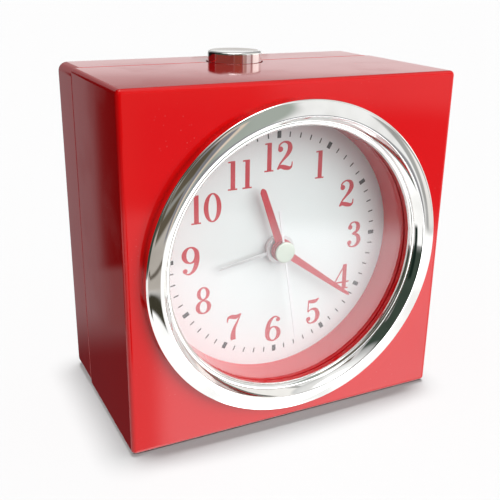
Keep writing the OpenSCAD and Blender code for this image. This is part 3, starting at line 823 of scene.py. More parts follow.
class Finishes:
    """Every finish on the clock and round it, by the place it is used."""

    case = GlossPlastic("glossy_red_plastic")
    ring = GlossPlastic("red_dial_ring", colour="d8101c", shade="cc0c16", roughness=0.16)
    chrome = Plated("chrome_plating")
    lens = ClearLens("clear_lens_plastic")
    dial = DialFace("white_dial_sheet")
    red_ink = Printed("red_numeral_ink", colour="ae2430", fade="b83c48", roughness=0.5)
    black_ink = Printed("black_mark_ink", colour="141414", fade="262424", roughness=0.5)
    red_lacquer = Printed("red_hand_lacquer", colour="a81826", fade="b02030", roughness=0.34)
    silver_lacquer = Printed(
        "silver_hand_lacquer", colour="c8c8c8", fade="b4b4b6", roughness=0.28, metallic=0.85
    )
    white_lacquer = Printed("white_hand_lacquer", colour="dadadc", fade="d0d0d4", roughness=0.35)
    cap = Printed("satin_cap_lacquer", colour="c6d0c2", fade="b9c6b8", roughness=0.3, metallic=0.35)
    rubber = MattePlastic("foot_rubber", colour="2c2b2a", roughness=0.75, relief=1.2e-5, edge=0.1)
    steel = Plated("zinc_plated_screw", colour="c9ccd0", stain="9a9c9e", roughness=0.25)
    spring = Plated("spring_steel", colour="b8babc", stain="8e9092", roughness=0.2, lines=0.15)
    movement = MattePlastic("movement_plastic", colour="e9e7e1", roughness=0.4)
    cover = MattePlastic("movement_cover_plastic", colour="cfd0d0", roughness=0.42)
    laminate = CircuitLaminate("circuit_laminate")
    resin = MattePlastic("chip_resin", colour="0e0e10", roughness=0.25, relief=1e-5, edge=0.05)
    can = Plated("crystal_can_metal", colour="d9dadc", stain="b0b2b4", roughness=0.15, lines=0.1)
    bobbin = MattePlastic("bobbin_plastic", colour="efe9d8", roughness=0.4)
    winding = WoundWire("enamelled_copper_wire")
    stator = Plated("stator_steel", colour="8d9094", stain="6c6e72", roughness=0.35, lines=0.2, relief=4e-6)
    contact = Plated("contact_brass", colour="d2a848", stain="a8823a", roughness=0.22, lines=0.15)
    buzzer = Plated("buzzer_brass", colour="d8b257", stain="b08a40", roughness=0.25, lines=0.1)
    sleeve = BatterySleeve("battery_sleeve")
    red_wire = MattePlastic("red_wire_insulation", colour="b01818", roughness=0.4, relief=2e-6)
    black_wire = MattePlastic("black_wire_insulation", colour="161616", roughness=0.4, relief=2e-6)
    black = MattePlastic("black_switch_plastic", colour="161617", roughness=0.4)
    knob = MattePlastic("black_knob_plastic", colour="151516", roughness=0.36, relief=8e-6)
    white = MattePlastic("white_slider_plastic", colour="ecebe6", roughness=0.35)
    gear = MattePlastic("acetal_gear_plastic", colour="f0eee6", roughness=0.38, relief=3e-6)
    brass = Plated("gear_brass", colour="d6ac50", stain="a9843c", roughness=0.24, lines=0.12)
    magnet = Plated("rotor_magnet", colour="4a4c50", stain="3a3b3e", roughness=0.4, relief=5e-6)
    floor = Backdrop("studio_floor")


# ---------- handing a piece over ----------


def make_piece(
    solid: Solid,
    name: str,
    finish: Finish,
    body: str,
    stands_for: Sequence[str] = (),
    crease: float = 32.0,
) -> bpy.types.Object:
    """Turns a solid into a piece of the clock.

    Args:
        solid: The shape in the clock's millimetres.
        name: Name of the piece.
        finish: What its surface is made of.
        body: The body that it moves with.
        stands_for: CAD nodes that it replaces.
        crease: Edges that turn by more degrees than this stay sharp.

    Returns:
        The piece.
    """
    to_frame = Matrix.Translation((0.0, FRONT_Y * MM, DIAL_Z * MM)) @ Matrix.Scale(MM, 4)
    mesh = solid.mesh.copy()
    mesh.transform(to_frame)
    mesh.shade_smooth()
    mesh.set_sharp_from_angle(angle=math.radians(crease))
    draft = bpy.data.objects.new("draft", mesh)
    bpy.context.scene.collection.objects.link(draft)
    weighted = draft.modifiers.new("weighted", "WEIGHTED_NORMAL")
    weighted.keep_sharp = True
    final = bpy.data.meshes.new_from_object(draft.evaluated_get(bpy.context.evaluated_depsgraph_get()))
    bpy.data.objects.remove(draft)
    final.name = name
    final.materials.clear()
    final.materials.append(finish.material)
    piece = bpy.data.objects.new(name, final)
    bpy.context.scene.collection.objects.link(piece)
    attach(piece, body)
    if stands_for:
        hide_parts(*stands_for)
    LOG.info("%s: %d faces, rides on %s", name, len(final.polygons), body)
    return piece


def dress_nodes(finish: Finish, *nodes: str) -> None:
    """Gives CAD nodes that stay in view a finish."""
    for name in nodes:
        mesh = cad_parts[name].data
        mesh.materials.clear()
        mesh.materials.append(finish.material)
        LOG.info("%s keeps its frame shape and wears %s", name, finish.name)


# ---------- case ----------


@dataclass
class Case:
    """Front and rear shells, feet and the screws that hold the shells together."""

    width: float = node_span("front_case", 0)[1] * 2
    depth: float = node_span("rear_case", 1)[1]
    seam: float = 38.0
    seam_gap: float = 0.3
    wall: float = 2.0
    front_edge: float = 1.2
    rear_edge: float = 2.4
    opening_r: float = 34.2
    ring_seat_r: float = 36.0
    lens_seat: float = node_span("lens", 1)[0]
    tunnel_end: float = 12.3
    tunnel_boss_r: float = 38.2
    ear_at: float = 32.0
    screw_at: float = 38.5
    screw_seat: float = 44.0
    screw_head_r: float = 2.8
    foot_at: float = 34.0
    foot_r: float = 4.0
    foot_depths: tuple[float, float] = (12.0, 46.0)
    bracket_boss: Point2 = (12.0, 34.5)
    bracket_top: float = 33.5
    snooze_hole_r: float = 7.7

    def corners(self, at: float) -> list[Point2]:
        """The four corners of a square layout."""
        return [(x, y) for x in (-at, at) for y in (-at, at)]

    def shell_outline(self, edge: float) -> Callable[[float], Outline]:
        """The outer outline of a shell, pulled in by a distance."""
        return lambda inset: rounded_rect(
            self.width - 2 * inset, self.width - 2 * inset, edge - inset, steps=6
        )

    def square(self, half: float) -> Outline:
        """A plain square outline."""
        return rounded_rect(2 * half, 2 * half, 0.4, steps=2)

    def pegs(self, places: Iterable[Point2], r: float, low: float, high: float) -> Solid:
        """Round pegs or holes along the depth."""
        return Solid.group(Solid.prism(circle(r, 40, x, y), low, high) for x, y in places)

    def snooze_hole(self) -> Solid:
        """Cutter for the round hole that the snooze button moves in."""
        top = self.width / 2
        outline = lambda grow: circle(self.snooze_hole_r + grow, 96, 0.0, self.seam)
        return Solid.opening(outline, top, top - 2 * self.wall, 0.25, Axis.UP)

    def foot_pockets(self, depth: float) -> Solid:
        """Cutters for the pockets that the feet sit in."""
        base = -self.width / 2
        return Solid.group(
            Solid.prism(circle(self.foot_r + 0.05, 48, x, depth), base - 1, base + 0.8, Axis.UP)
            for x in (-self.foot_at, self.foot_at)
        )

    def front_shell(self) -> Solid:
        """The front shell with the tunnel to the dial."""
        inner = self.width / 2 - self.wall
        end = self.seam - self.seam_gap / 2
        block = Solid.eased(self.shell_outline(self.front_edge), 0.0, end, self.front_edge, 0.22)
        hollow = block.minus(Solid.prism(self.square(inner), self.wall, end + 1))
        bosses = Solid.prism(circle(self.tunnel_boss_r, 128), self.wall - 0.1, self.tunnel_end)
        posts = self.pegs(self.corners(self.ear_at), 2.8, self.wall - 0.1, self.tunnel_end - 0.01)
        columns = self.pegs(self.corners(self.screw_at), 3.5, self.wall - 0.1, end - 0.01)
        x, depth = self.bracket_boss
        hangers = Solid.group(
            Solid.prism(
                circle(2.2, 32, side * x, depth), self.bracket_top, inner + 0.1, Axis.UP
            )
            for side in (-1, 1)
        )
        body = hollow.plus(bosses, posts, columns, hangers)
        seat = Solid.prism(circle(self.ring_seat_r, 128), self.lens_seat, self.tunnel_end + 1)
        lip = self.square(inner + 1)
        lip_cut = Solid.prism(lip, end - 1.5, end + 1).minus(
            Solid.prism(self.square(inner - 0.1), end - 2, end + 2)
        )
        groove = Solid.lathe([(37.2, -1.0), (38.4, -1.0), (38.4, 1.3), (37.2, 1.3)])
        hanger_holes = Solid.group(
            Solid.prism(circle(0.9, 20, side * x, depth), self.bracket_top - 1, self.bracket_top + 6, Axis.UP)
            for side in (-1, 1)
        )
        return body.minus(
            Solid.prism(circle(self.opening_r, 192), -1.0, self.lens_seat + 0.1),
            seat,
            groove,
            self.pegs(self.corners(self.ear_at), 1.05, 4.0, self.tunnel_end + 1),
            self.pegs(self.corners(self.screw_at), 1.3, 26.0, end + 1),
            lip_cut,
            hanger_holes,
            self.snooze_hole(),
            self.foot_pockets(self.foot_depths[0]),
        )

    def build(self) -> None:
        """Builds the front shell, feet and screws."""
        make_piece(self.front_shell(), "front_shell", Finishes.case, "case", ["front_case"])
        self.build_feet()
        self.build_screws()

    def build_feet(self) -> None:
        """Builds the four rubber feet."""
        low, high = node_span("rubber_feet", 2)
        feet = []
        for x in (-self.foot_at, self.foot_at):
            for depth in self.foot_depths:
                profile = [
                    (0.0, low + 0.12),
                    (1.6, low + 0.12),
                    (1.9, low),
                    *arc(self.foot_r - 0.2, low + 0.2, 0.2, -90, 0, 4),
                ]
                profile += [(self.foot_r, high), (0.0, high)]
                feet.append(Solid.lathe(profile, Axis.UP, (x, depth), 64))
        make_piece(Solid.group(feet), "foot_pads", Finishes.rubber, "case", ["rubber_feet"])

    def build_screws(self) -> None:
        """Builds the four long case screws with crossed heads and threads."""
        screws = [
            cross_screw(self.screw_head_r, 2.0, 1.25, 15.0).moved(x, self.screw_seat, y)
            for x, y in self.corners(self.screw_at)
        ]
        make_piece(
            Solid.group(screws), "shell_screws", Finishes.steel, "case", ["case_screws"]
        )


def cross_screw(head_r: float, head_h: float, shank_r: float, length: float) -> Solid:
    """A pan-head screw along the depth, its seat at depth 0 and its head towards the rear.

    Args:
        head_r: Radius of the head.
        head_h: Height of the head.
        shank_r: Radius of the thread.
        length: Length of the shank.

    Returns:
        The screw.
    """
    head = [
        (0.0, head_h),
        (head_r * 0.55, head_h - 0.05),
        *arc(head_r - 0.8, head_h - 0.85, 0.8, 75, 0, 5),
        (head_r, 0.0),
    ]
    pitch, root_r = 0.55, shank_r * 0.82
    thread = []
    for i in range(int(length / pitch)):
        crest = (shank_r, -pitch * (i + 0.5))
        thread += [(root_r, -pitch * (i + 0.1)), crest, (root_r, -pitch * (i + 0.9))]
    profile = head + [(shank_r * 0.8, 0.0)] + thread + [(0.0, -length)]
    blade = lambda a: Solid.loft(
        [
            (head_h + 0.5, turned_outline(rounded_rect(head_r * 1.25, 0.75, 0.1, steps=2), a)),
            (head_h - 1.0, turned_outline(rounded_rect(head_r * 0.5, 0.5, 0.1, steps=2), a)),
        ]
    )
    cross = blade(0.0).plus(blade(90.0))
    return Solid.lathe(profile, steps=48).minus(cross)


# ---------- rear ----------


@dataclass
class RearShell:
    """The rear shell with its knob well, battery bay, sound holes and switch opening."""

    case: Case
    well: tuple[float, float, float] = (48.0, 22.0, 3.0)
    well_up: float = -3.0
    well_floor: float = 46.0
    well_wall: float = 1.6
    bay_half: float = 29.0
    bay_up: tuple[float, float] = (-39.5, -22.3)
    bay_front: float = 37.0
    bay_wall: float = 1.5
    door_half: float = 29.5
    door_t: float = 1.8
    door_up: tuple[float, float] = (-38.5, -21.3)
    notch_r: float = 6.0
    buzzer_up: float = 26.0
    hole_pitch: float = 3.3
    hole_r: float = 0.8
    switch_at: Point2 = (27.0, 26.0)
    stem_at: Point2 = (11.619, -3.0)

    def well_outline(self, grow: float) -> Outline:
        """Outline of the knob well, grown by a distance."""
        w, h, r = self.well
        return rounded_rect(w + 2 * grow, h + 2 * grow, r + grow, 0.0, self.well_up)

    def box(self, half_x: float, low: float, high: float, front: float, rear: float, r: float = 0.3) -> Solid:
        """A block along the depth between two heights."""
        outline = rounded_rect(2 * half_x, high - low, r, 0.0, (low + high) / 2, steps=3)
        return Solid.prism(outline, front, rear)

    def thumb_notch(self) -> Solid:
        """The ball that hollows the door's free edge and the shell beside it."""
        rear = self.case.depth + 4.4
        profile = [
            (self.notch_r * math.sin(math.radians(a)), rear - self.notch_r * math.cos(math.radians(a)))
            for a in range(0, 181, 6)
        ]
        return Solid.lathe(profile, centre=(0.0, self.door_up[1]), steps=64)

    def sound_holes(self) -> Solid:
        """Cutters for the pattern of holes over the buzzer."""
        rear = self.case.depth
        holes = []
        for ring in range(3):
            count = max(6 * ring, 1)
            for i in range(count):
                a = 2 * math.pi * i / count
                reach = self.hole_pitch * ring
                x, y = reach * math.cos(a), self.buzzer_up + reach * math.sin(a)
                outline = lambda grow, x=x, y=y: circle(self.hole_r + grow, 24, x, y)
                holes.append(Solid.opening(outline, rear, rear - 3, 0.2, steps=3))
        return Solid.group(holes)

    def shell(self) -> Solid:
        """The whole rear shell."""
        case = self.case
        rear, wall, inner = case.depth, case.wall, case.width / 2 - case.wall
        start = case.seam + case.seam_gap / 2
        block = Solid.eased(case.shell_outline(case.rear_edge), start, rear, 0.22, case.rear_edge)
        hollow = block.minus(Solid.prism(case.square(inner), start - 1, rear - wall))
        lip = Solid.prism(case.square(inner + 0.95), start - 1.5, start + 1)
        lip = lip.minus(Solid.prism(case.square(inner), start - 2, start + 2))
        well = Solid.prism(self.well_outline(self.well_wall), self.well_floor - self.well_wall, rear - 1)
        columns = case.pegs(case.corners(case.screw_at), 4.2, start, rear - 1)
        bay = self.box(
            self.bay_half + self.bay_wall, self.bay_up[0] - self.bay_wall, self.bay_up[1] + self.bay_wall,
            self.bay_front - self.bay_wall, rear - 1,
        )
        x, y = self.switch_at
        pad = Solid.prism(rounded_rect(16, 9, 0.4, x, y, 2), rear - wall - 1.6, rear - 1)
        fence = Solid.lathe(
            [(10.1, rear - wall - 3), (11.5, rear - wall - 3), (11.5, rear - 1), (10.1, rear - 1)],
            centre=(0.0, self.buzzer_up),
        )
        body = hollow.plus(lip, well, columns, bay, pad, fence)
        recess = Solid.opening(
            lambda g: rounded_rect(12 + 2 * g, 6 + 2 * g, 1 + g, x, y), rear, rear - 1.7, 0.3
        )
        slot = Solid.prism(rounded_rect(8.4, 2.8, 0.3, x, y, 3), rear - wall - 2.6, rear - 1)
        seat_r = case.screw_head_r + 0.3
        seats = Solid.group(
            Solid.opening(
                lambda g, px=px, py=py: circle(seat_r + g, 48, px, py), rear, case.screw_seat, 0.3
            )
            for px, py in case.corners(case.screw_at)
        )
        door_low, door_high = self.door_up
        recess_outline = lambda g: rounded_rect(
            2 * (self.door_half + 0.3) + 2 * g, door_high - door_low + 1.5 + 2 * g, 0.3 + g, 0.0,
            (door_low + door_high) / 2 - 0.45, 3,
        )
        door_recess = Solid.opening(recess_outline, rear, rear - self.door_t - 0.1, 0.25)
        pin = Solid.prism(
            circle(0.66, 24, rear - self.door_t / 2, door_low),
            -self.door_half - 1.4,
            self.door_half + 1.4,
            Axis.ACROSS,
        )
        return body.minus(
            Solid.opening(self.well_outline, rear, self.well_floor, 0.6),
            case.pegs(
                [(s * self.stem_at[0], self.stem_at[1]) for s in (-1, 1)],
                2.6,
                self.well_floor - 3,
                self.well_floor + 1,
            ),
            seats,
            case.pegs(case.corners(case.screw_at), 1.6, start - 1, rear),
            self.box(self.bay_half, *self.bay_up, self.bay_front, rear + 1),
            door_recess,
            pin,
            self.thumb_notch(),
            self.sound_holes(),
            recess,
            slot,
            case.snooze_hole(),
            case.foot_pockets(case.foot_depths[1]),
        )

    def build(self) -> None:
        """Builds the shell."""
        make_piece(self.shell(), "rear_shell", Finishes.case, "case", ["rear_case"])


@dataclass
class BatteryBay:
    """The battery, its door and its contacts."""

    rear: RearShell
    cell_r: float = 7.1
    cell_depth: float = 44.6
    cell_up: float = -30.9
    cell_x: Point2 = (-22.2, 27.1)

    def door(self) -> Solid:
        """The hinged door with grip ribs beside its thumb notch."""
        rear_face = self.rear.case.depth
        low, high = self.rear.door_up
        half, t = self.rear.door_half, self.rear.door_t
        outline = lambda inset: rounded_rect(
            2 * half - 2 * inset, high - low - 2 * inset, 0.3, 0.0, (low + high) / 2, 3
        )
        plate = Solid.eased(outline, rear_face - t, rear_face, 0.15, 0.3, steps=4)
        barrel = Solid.prism(circle(t / 2, 40, rear_face - t / 2, low), -half, half, Axis.ACROSS)
        pins = Solid.prism(circle(0.6, 32, rear_face - t / 2, low), -half - 1.2, half + 1.2, Axis.ACROSS)
        grooves = Solid.group(
            Solid.prism(
                rounded_rect(9.0, 0.5, 0.25, 0.0, high - 8.0 - 1.3 * i, 4), rear_face - 0.35, rear_face + 1
            )
            for i in range(4)
        )
        return plate.plus(barrel, pins).minus(self.rear.thumb_notch(), grooves)

    def cell(self) -> Solid:
        """The battery with its sleeve rolled over both ends."""
        left, right = self.cell_x
        r = self.cell_r
        profile = [
            (0.0, left + 0.3), (4.5, left + 0.3), (4.8, left), *arc(r - 0.5, left + 0.5, 0.5, -90, 0, 5)
        ]
        profile += [
            *arc(r - 0.5, right - 0.5, 0.5, 0, 90, 5), (4.2, right), (4.0, right - 0.35),
            (2.75, right - 0.35),
        ]
        profile += [*arc(2.5, right + 0.95, 0.25, 0, 90, 4), (0.0, right + 1.2)]
        return Solid.lathe(profile, Axis.ACROSS, (self.cell_depth, self.cell_up), 96)

    def helix(
        self, axis: Axis, centre: Point2, ends: Point2, radii: Point2, turns: float, wire: float
    ) -> Solid:
        """A coil spring.

        Args:
            axis: Direction of the spring.
            centre: The two coordinates of its middle line across the axis.
            ends: Places of the wire's centre line at the two ends.
            radii: Coil radii at the two ends.
            turns: Number of turns.
            wire: Radius of the wire.

        Returns:
            The spring.
        """
        steps = int(turns * 32)
        path = []
        for i in range(steps + 1):
            t = i / steps
            a = 2 * math.pi * turns * t
            r = radii[0] + (radii[1] - radii[0]) * t
            path.append(
                axis.point(
                    centre[0] + r * math.cos(a), centre[1] + r * math.sin(a),
                    ends[0] + (ends[1] - ends[0]) * t,
                )
            )
        return Solid.tube(path, wire)

    def build(self) -> None:
        """Builds the battery, its door, spring and contacts."""
        make_piece(self.door(), "battery_cover", Finishes.case, "battery_door", ["battery_door"])
        make_piece(self.cell(), "battery_cell", Finishes.sleeve, "case", ["battery"])
        start = -self.rear.bay_half
        coil = self.helix(
            Axis.ACROSS, (self.cell_depth, self.cell_up), (start + 0.8, self.cell_x[0] - 0.45), (4.6, 2.6),
            4, 0.4,
        )
        leaf = lambda x0, x1: Solid.prism(
            rounded_rect(12, 12, 1.0, self.cell_depth, self.cell_up, 4), x0, x1, Axis.ACROSS
        ).bevelled(0.06)
        spring = Solid.group([coil, leaf(start, start + 0.4)])
        make_piece(spring, "minus_spring", Finishes.spring, "case", ["battery_spring"])
        make_piece(
            leaf(-start - 0.4, -start), "plus_contact", Finishes.spring, "case", ["battery_plate"],
        )


@dataclass
class RearControls:
    """Setting knobs in the well and the alarm's slide switch."""

    rear: RearShell
    knob_r: float = 7.0
    knob_depth: Point2 = (46.6, 53.2)
    stem_front: float = 33.0
    stem_r: float = 2.2
    arbor_r: float = 0.8
    flutes: int = 18
    flute_depth: float = 0.5

    def fluted(self, inset: float) -> Outline:
        """Outline of the fluted knob, pulled in by a distance."""
        steps = self.flutes * 16
        points = []
        for i in range(steps):
            a = 2 * math.pi * i / steps
            valley = max(0.0, math.cos(a * self.flutes)) ** 1.5
            r = self.knob_r - inset - self.flute_depth * valley * max(0.0, 1 - inset / 1.2)
            points.append((r * math.cos(a), r * math.sin(a)))
        return points

    def knob(self) -> Solid:
        """A knob about the origin, with a dished rear face and a raised turning arrow."""
        front, rear = self.knob_depth
        head = Solid.eased(self.fluted, front, rear, 0.3, 0.7)
        dish = Solid.lathe(
            [
                (0.0, rear + 1.0), (5.0, rear + 1.0), (5.0, rear), (4.4, rear - 0.35), (3.0, rear - 0.5),
                (0.0, rear - 0.55),
            ]
        )
        stem = Solid.lathe(
            [
                (self.arbor_r, self.stem_front), (self.stem_r, self.stem_front),
                (self.stem_r, front + 0.05), (self.arbor_r, front + 0.05),
            ],
            steps=48,
        )
        arrow = self.arrow(rear - 0.6, rear - 0.12)
        return head.minus(dish).plus(stem, arrow)

    def arrow(self, low: float, high: float) -> Solid:
        """A raised curved arrow that shows which way to turn."""
        inner, outer = 2.6, 3.4
        band = arc(0, 0, outer, 20, 300, 40) + arc(0, 0, inner, 300, 20, 40)
        tip_a = math.radians(20)
        c, s = math.cos(tip_a), math.sin(tip_a)
        middle, half, length = (inner + outer) / 2, 1.1, 1.5
        tip = [(r * c, r * s) for r in (middle - half, middle + half)]
        tip.append((middle * c + length * s, middle * s - length * c))
        return Solid.prism(band, low, high).plus(Solid.prism(tip, low, high - 0.01))

    def build(self) -> None:
        """Builds both knobs and the slider."""
        knob = self.knob()
        x, up = self.rear.stem_at
        make_piece(
            knob.moved(-x, 0.0, up), "time_knob", Finishes.knob, "time_set", ["time_set_knob"]
        )
        make_piece(
            knob.moved(x, 0.0, up), "alarm_knob", Finishes.knob, "alarm_set", ["alarm_set_knob"],
        )
        self.build_slider()

    def build_slider(self) -> None:
        """Builds the slide switch's knob with grip ribs."""
        rear = self.rear.case.depth
        x, up = self.rear.switch_at[0] - 2.0, self.rear.switch_at[1]
        outline = lambda i: rounded_rect(7 - 2 * i, 5.2 - 2 * i, 0.6 - i, x, up)
        pad = Solid.eased(outline, rear - 1.6, rear - 0.4, 0.1, 0.3, steps=4)
        stalk = Solid.prism(rounded_rect(4, 2.4, 0.2, x, up, 2), 46.6, rear - 1.5)
        ribs = Solid.group(
            Solid.prism(
                rounded_rect(0.5, 4.0, 0.2, x + 1.1 * i, up, 3), rear - 0.75, rear + 1
            )
            for i in range(-2, 3)
        )
        slider = pad.plus(stalk).minus(ribs)
        make_piece(
            slider, "alarm_slider", Finishes.white, "alarm_switch", ["alarm_switch_slider"]
        )


# ---------- front ----------


@dataclass
class ChromeRing:
    """The chrome ring round the dial's opening."""

    outer_r: float = node_span("bezel", 0)[1]
    crest_h: float = -node_span("bezel", 1)[0]
    inner_r: float = 34.2

    def profile(self) -> Outline:
        """Section of the ring as (radius, depth), heights in front of the case being negative depths."""
        crest, top = self.inner_r + 2.7, self.crest_h
        lip_r, lip_h = self.inner_r + 1.1, 1.2
        heights = [(self.inner_r + 0.01, 0.0), (self.inner_r + 0.01, 0.12)]
        heights += arc(lip_r - 0.16, lip_h - 1.02, 0.92, 168, 92, 9)
        heights += [(lip_r + 0.02, lip_h - 0.12), (lip_r + 0.1, lip_h - 0.13)]
        flank = 10
        for i in range(flank + 1):
            t = i / flank
            heights.append(
                (
                    lip_r + 0.14 + t * (crest - 0.1 - lip_r - 0.14),
                    lip_h + (top - 0.12 - lip_h) * (0.75 * t + 0.25 * t * t),
                )
            )
        heights += arc(crest + 0.06, top - 0.13, 0.12, 150, 92, 4)
        band, band_w = 16, self.outer_r - 0.7 - crest
        for i in range(1, band + 1):
            t = i / band
            heights.append((crest + 0.1 + t * (band_w - 0.1), top - 0.01 - 0.42 * t * t))
        heights += arc(self.outer_r - 0.6, top - 0.44 - 0.58, 0.6, 76, 0, 7)
        heights += [(self.outer_r, 0.0), (38.35, 0.0), (38.35, -1.2), (37.25, -1.2), (37.25, 0.0)]
        return [(r, -h) for r, h in heights]

    def build(self) -> None:
        """Builds the ring."""
        ring = Solid.lathe(self.profile(), steps=256)
        make_piece(ring, "chrome_ring", Finishes.chrome, "case", ["bezel"], crease=50.0)


def curve_value(a: float, b: float, c: float, d: float, t: float) -> float:
    """One coordinate of the smooth curve through four points, between the middle two.

    Args:
        a: Value at the point before.
        b: Value at the point where the stretch starts.
        c: Value at the point where the stretch ends.
        d: Value at the point after.
        t: Place along the stretch, from 0 to 1.

    Returns:
        The coordinate.
    """
    bend = 2 * a - 5 * b + 4 * c - d
    twist = 3 * b - a - 3 * c + d
    return 0.5 * (2 * b + (c - a) * t + bend * t * t + twist * t**3)


@dataclass(frozen=True)
class Stroke:
    """A pen stroke through points given as (x, y, pen width), smooth unless it is straight."""

    points: tuple[tuple[float, float, float], ...]

    def outline(self, steps: int = 6) -> Outline:
        """The stroke's outline, with square ends."""
        line = self.smooth(steps)
        left, right = [], []
        for i, (x, y, w) in enumerate(line):
            ax, ay, _ = line[max(i - 1, 0)]
            bx, by, _ = line[min(i + 1, len(line) - 1)]
            length = math.hypot(bx - ax, by - ay)
            nx, ny = -(by - ay) / length * w / 2, (bx - ax) / length * w / 2
            left.append((x + nx, y + ny))
            right.append((x - nx, y - ny))
        return left + right[::-1]

    def smooth(self, steps: int) -> list[tuple[float, float, float]]:
        """Points along the curve that runs through the given ones."""
        p = [self.points[0], *self.points, self.points[-1]]
        if len(self.points) == 2:
            return list(self.points)
        line = []
        for i in range(1, len(p) - 2):
            for k in range(steps):
                t = k / steps
                line.append(tuple(curve_value(*four, t) for four in zip(*p[i - 1 : i + 3])))
        return [*line, self.points[-1]]

    def solid(self, low: float, high: float) -> Solid:
        """The stroke as a thin solid."""
        return Solid.prism(self.outline(), low, high)


@dataclass(frozen=True)
class Ball:
    """A round terminal."""

    x: float
    y: float
    r: float

    def solid(self, low: float, high: float) -> Solid:
        """The ball as a thin disc."""
        return Solid.prism(circle(self.r, 20, self.x, self.y), low, high)


@dataclass(frozen=True)
class Bowl:
    """A closed oval that is thick at its sides and thin at its top and bottom."""

    x: float
    y: float
    rx: float
    ry: float
    thick: float
    thin: float

    def solid(self, low: float, high: float) -> Solid:
        """The oval as a thin solid."""
        oval = lambda rx, ry: [(self.x + rx * u, self.y + ry * v) for u, v in circle(1.0, 48)]
        outer = Solid.prism(oval(self.rx, self.ry), low, high)
        return outer.minus(Solid.prism(oval(self.rx - self.thick, self.ry - self.thin), low - 1, high + 1))


Mark = Stroke | Ball | Bowl


def lines(*points: tuple[float, float, float]) -> Stroke:
    """A stroke through the given points."""
    return Stroke(tuple(points))


DIGIT_WIDTHS = {
    "0": 0.63, "1": 0.36, "2": 0.64, "3": 0.6, "4": 0.65, "5": 0.6, "6": 0.64, "7": 0.58, "8": 0.57,
    "9": 0.64,
}
SIX_MARKS: tuple[Mark, ...] = (
    Bowl(0.325, 0.3, 0.315, 0.3, 0.17, 0.055),
    lines(
        (0.092, 0.3, 0.17), (0.095, 0.52, 0.17), (0.17, 0.78, 0.15), (0.32, 0.945, 0.08),
        (0.46, 0.955, 0.05), (0.55, 0.87, 0.05),
    ),
    Ball(0.52, 0.84, 0.085),
)
DIGIT_MARKS: dict[str, tuple[Mark, ...]] = {
    "0": (Bowl(0.315, 0.5, 0.315, 0.5, 0.165, 0.05),),
    "1": (
        lines((0.2, 0.02, 0.165), (0.2, 0.98, 0.165)),
        lines((0.02, 0.025, 0.05), (0.36, 0.025, 0.05)),
        lines((0.2, 0.955, 0.05), (0.03, 0.945, 0.05)),
    ),
    "2": (
        lines(
            (0.09, 0.74, 0.05), (0.12, 0.88, 0.06), (0.28, 0.97, 0.055), (0.46, 0.91, 0.13),
            (0.515, 0.75, 0.18),
            (0.45, 0.58, 0.15), (0.3, 0.4, 0.09), (0.14, 0.22, 0.06), (0.06, 0.04, 0.06),
        ),
        Ball(0.15, 0.73, 0.095),
        lines(
            (0.05, 0.06, 0.07), (0.17, 0.13, 0.13), (0.34, 0.09, 0.16), (0.5, 0.06, 0.12),
            (0.59, 0.12, 0.06), (0.61, 0.27, 0.04),
        ),
    ),
    "3": (
        lines(
            (0.07, 0.82, 0.05), (0.14, 0.93, 0.06), (0.28, 0.975, 0.05), (0.42, 0.9, 0.13),
            (0.46, 0.76, 0.17), (0.4, 0.61, 0.12), (0.22, 0.53, 0.05),
        ),
        lines(
            (0.22, 0.53, 0.05), (0.43, 0.46, 0.12), (0.51, 0.28, 0.18), (0.44, 0.1, 0.13),
            (0.27, 0.03, 0.055), (0.13, 0.07, 0.06), (0.06, 0.17, 0.05),
        ),
        Ball(0.12, 0.79, 0.09),
        Ball(0.115, 0.2, 0.09),
    ),
    "4": (
        lines((0.44, 0.03, 0.17), (0.44, 0.98, 0.17)),
        lines((0.43, 0.96, 0.055), (0.03, 0.29, 0.055)),
        lines((0.01, 0.28, 0.06), (0.64, 0.28, 0.06)),
        lines((0.26, 0.025, 0.05), (0.62, 0.025, 0.05)),
    ),
    "5": (
        lines((0.1, 0.96, 0.05), (0.085, 0.5, 0.05)),
        lines((0.08, 0.93, 0.08), (0.22, 0.9, 0.14), (0.38, 0.9, 0.14), (0.53, 0.99, 0.05)),
        lines(
            (0.085, 0.5, 0.05), (0.22, 0.59, 0.06), (0.41, 0.55, 0.13), (0.505, 0.33, 0.18),
            (0.43, 0.11, 0.13), (0.26, 0.03, 0.055), (0.12, 0.07, 0.06), (0.06, 0.17, 0.05),
        ),
        Ball(0.115, 0.21, 0.09),
    ),
    "6": SIX_MARKS,
    "7": (
        lines(
            (0.03, 0.72, 0.04), (0.06, 0.88, 0.08), (0.2, 0.91, 0.15), (0.36, 0.88, 0.15),
            (0.55, 0.97, 0.06),
        ),
        lines(
            (0.54, 0.97, 0.05), (0.43, 0.72, 0.07), (0.3, 0.45, 0.12), (0.25, 0.2, 0.19), (0.26, 0.01, 0.2)
        ),
    ),
    "8": (
        Bowl(0.285, 0.26, 0.285, 0.26, 0.15, 0.05),
        Bowl(0.285, 0.755, 0.235, 0.245, 0.13, 0.05),
    ),
}


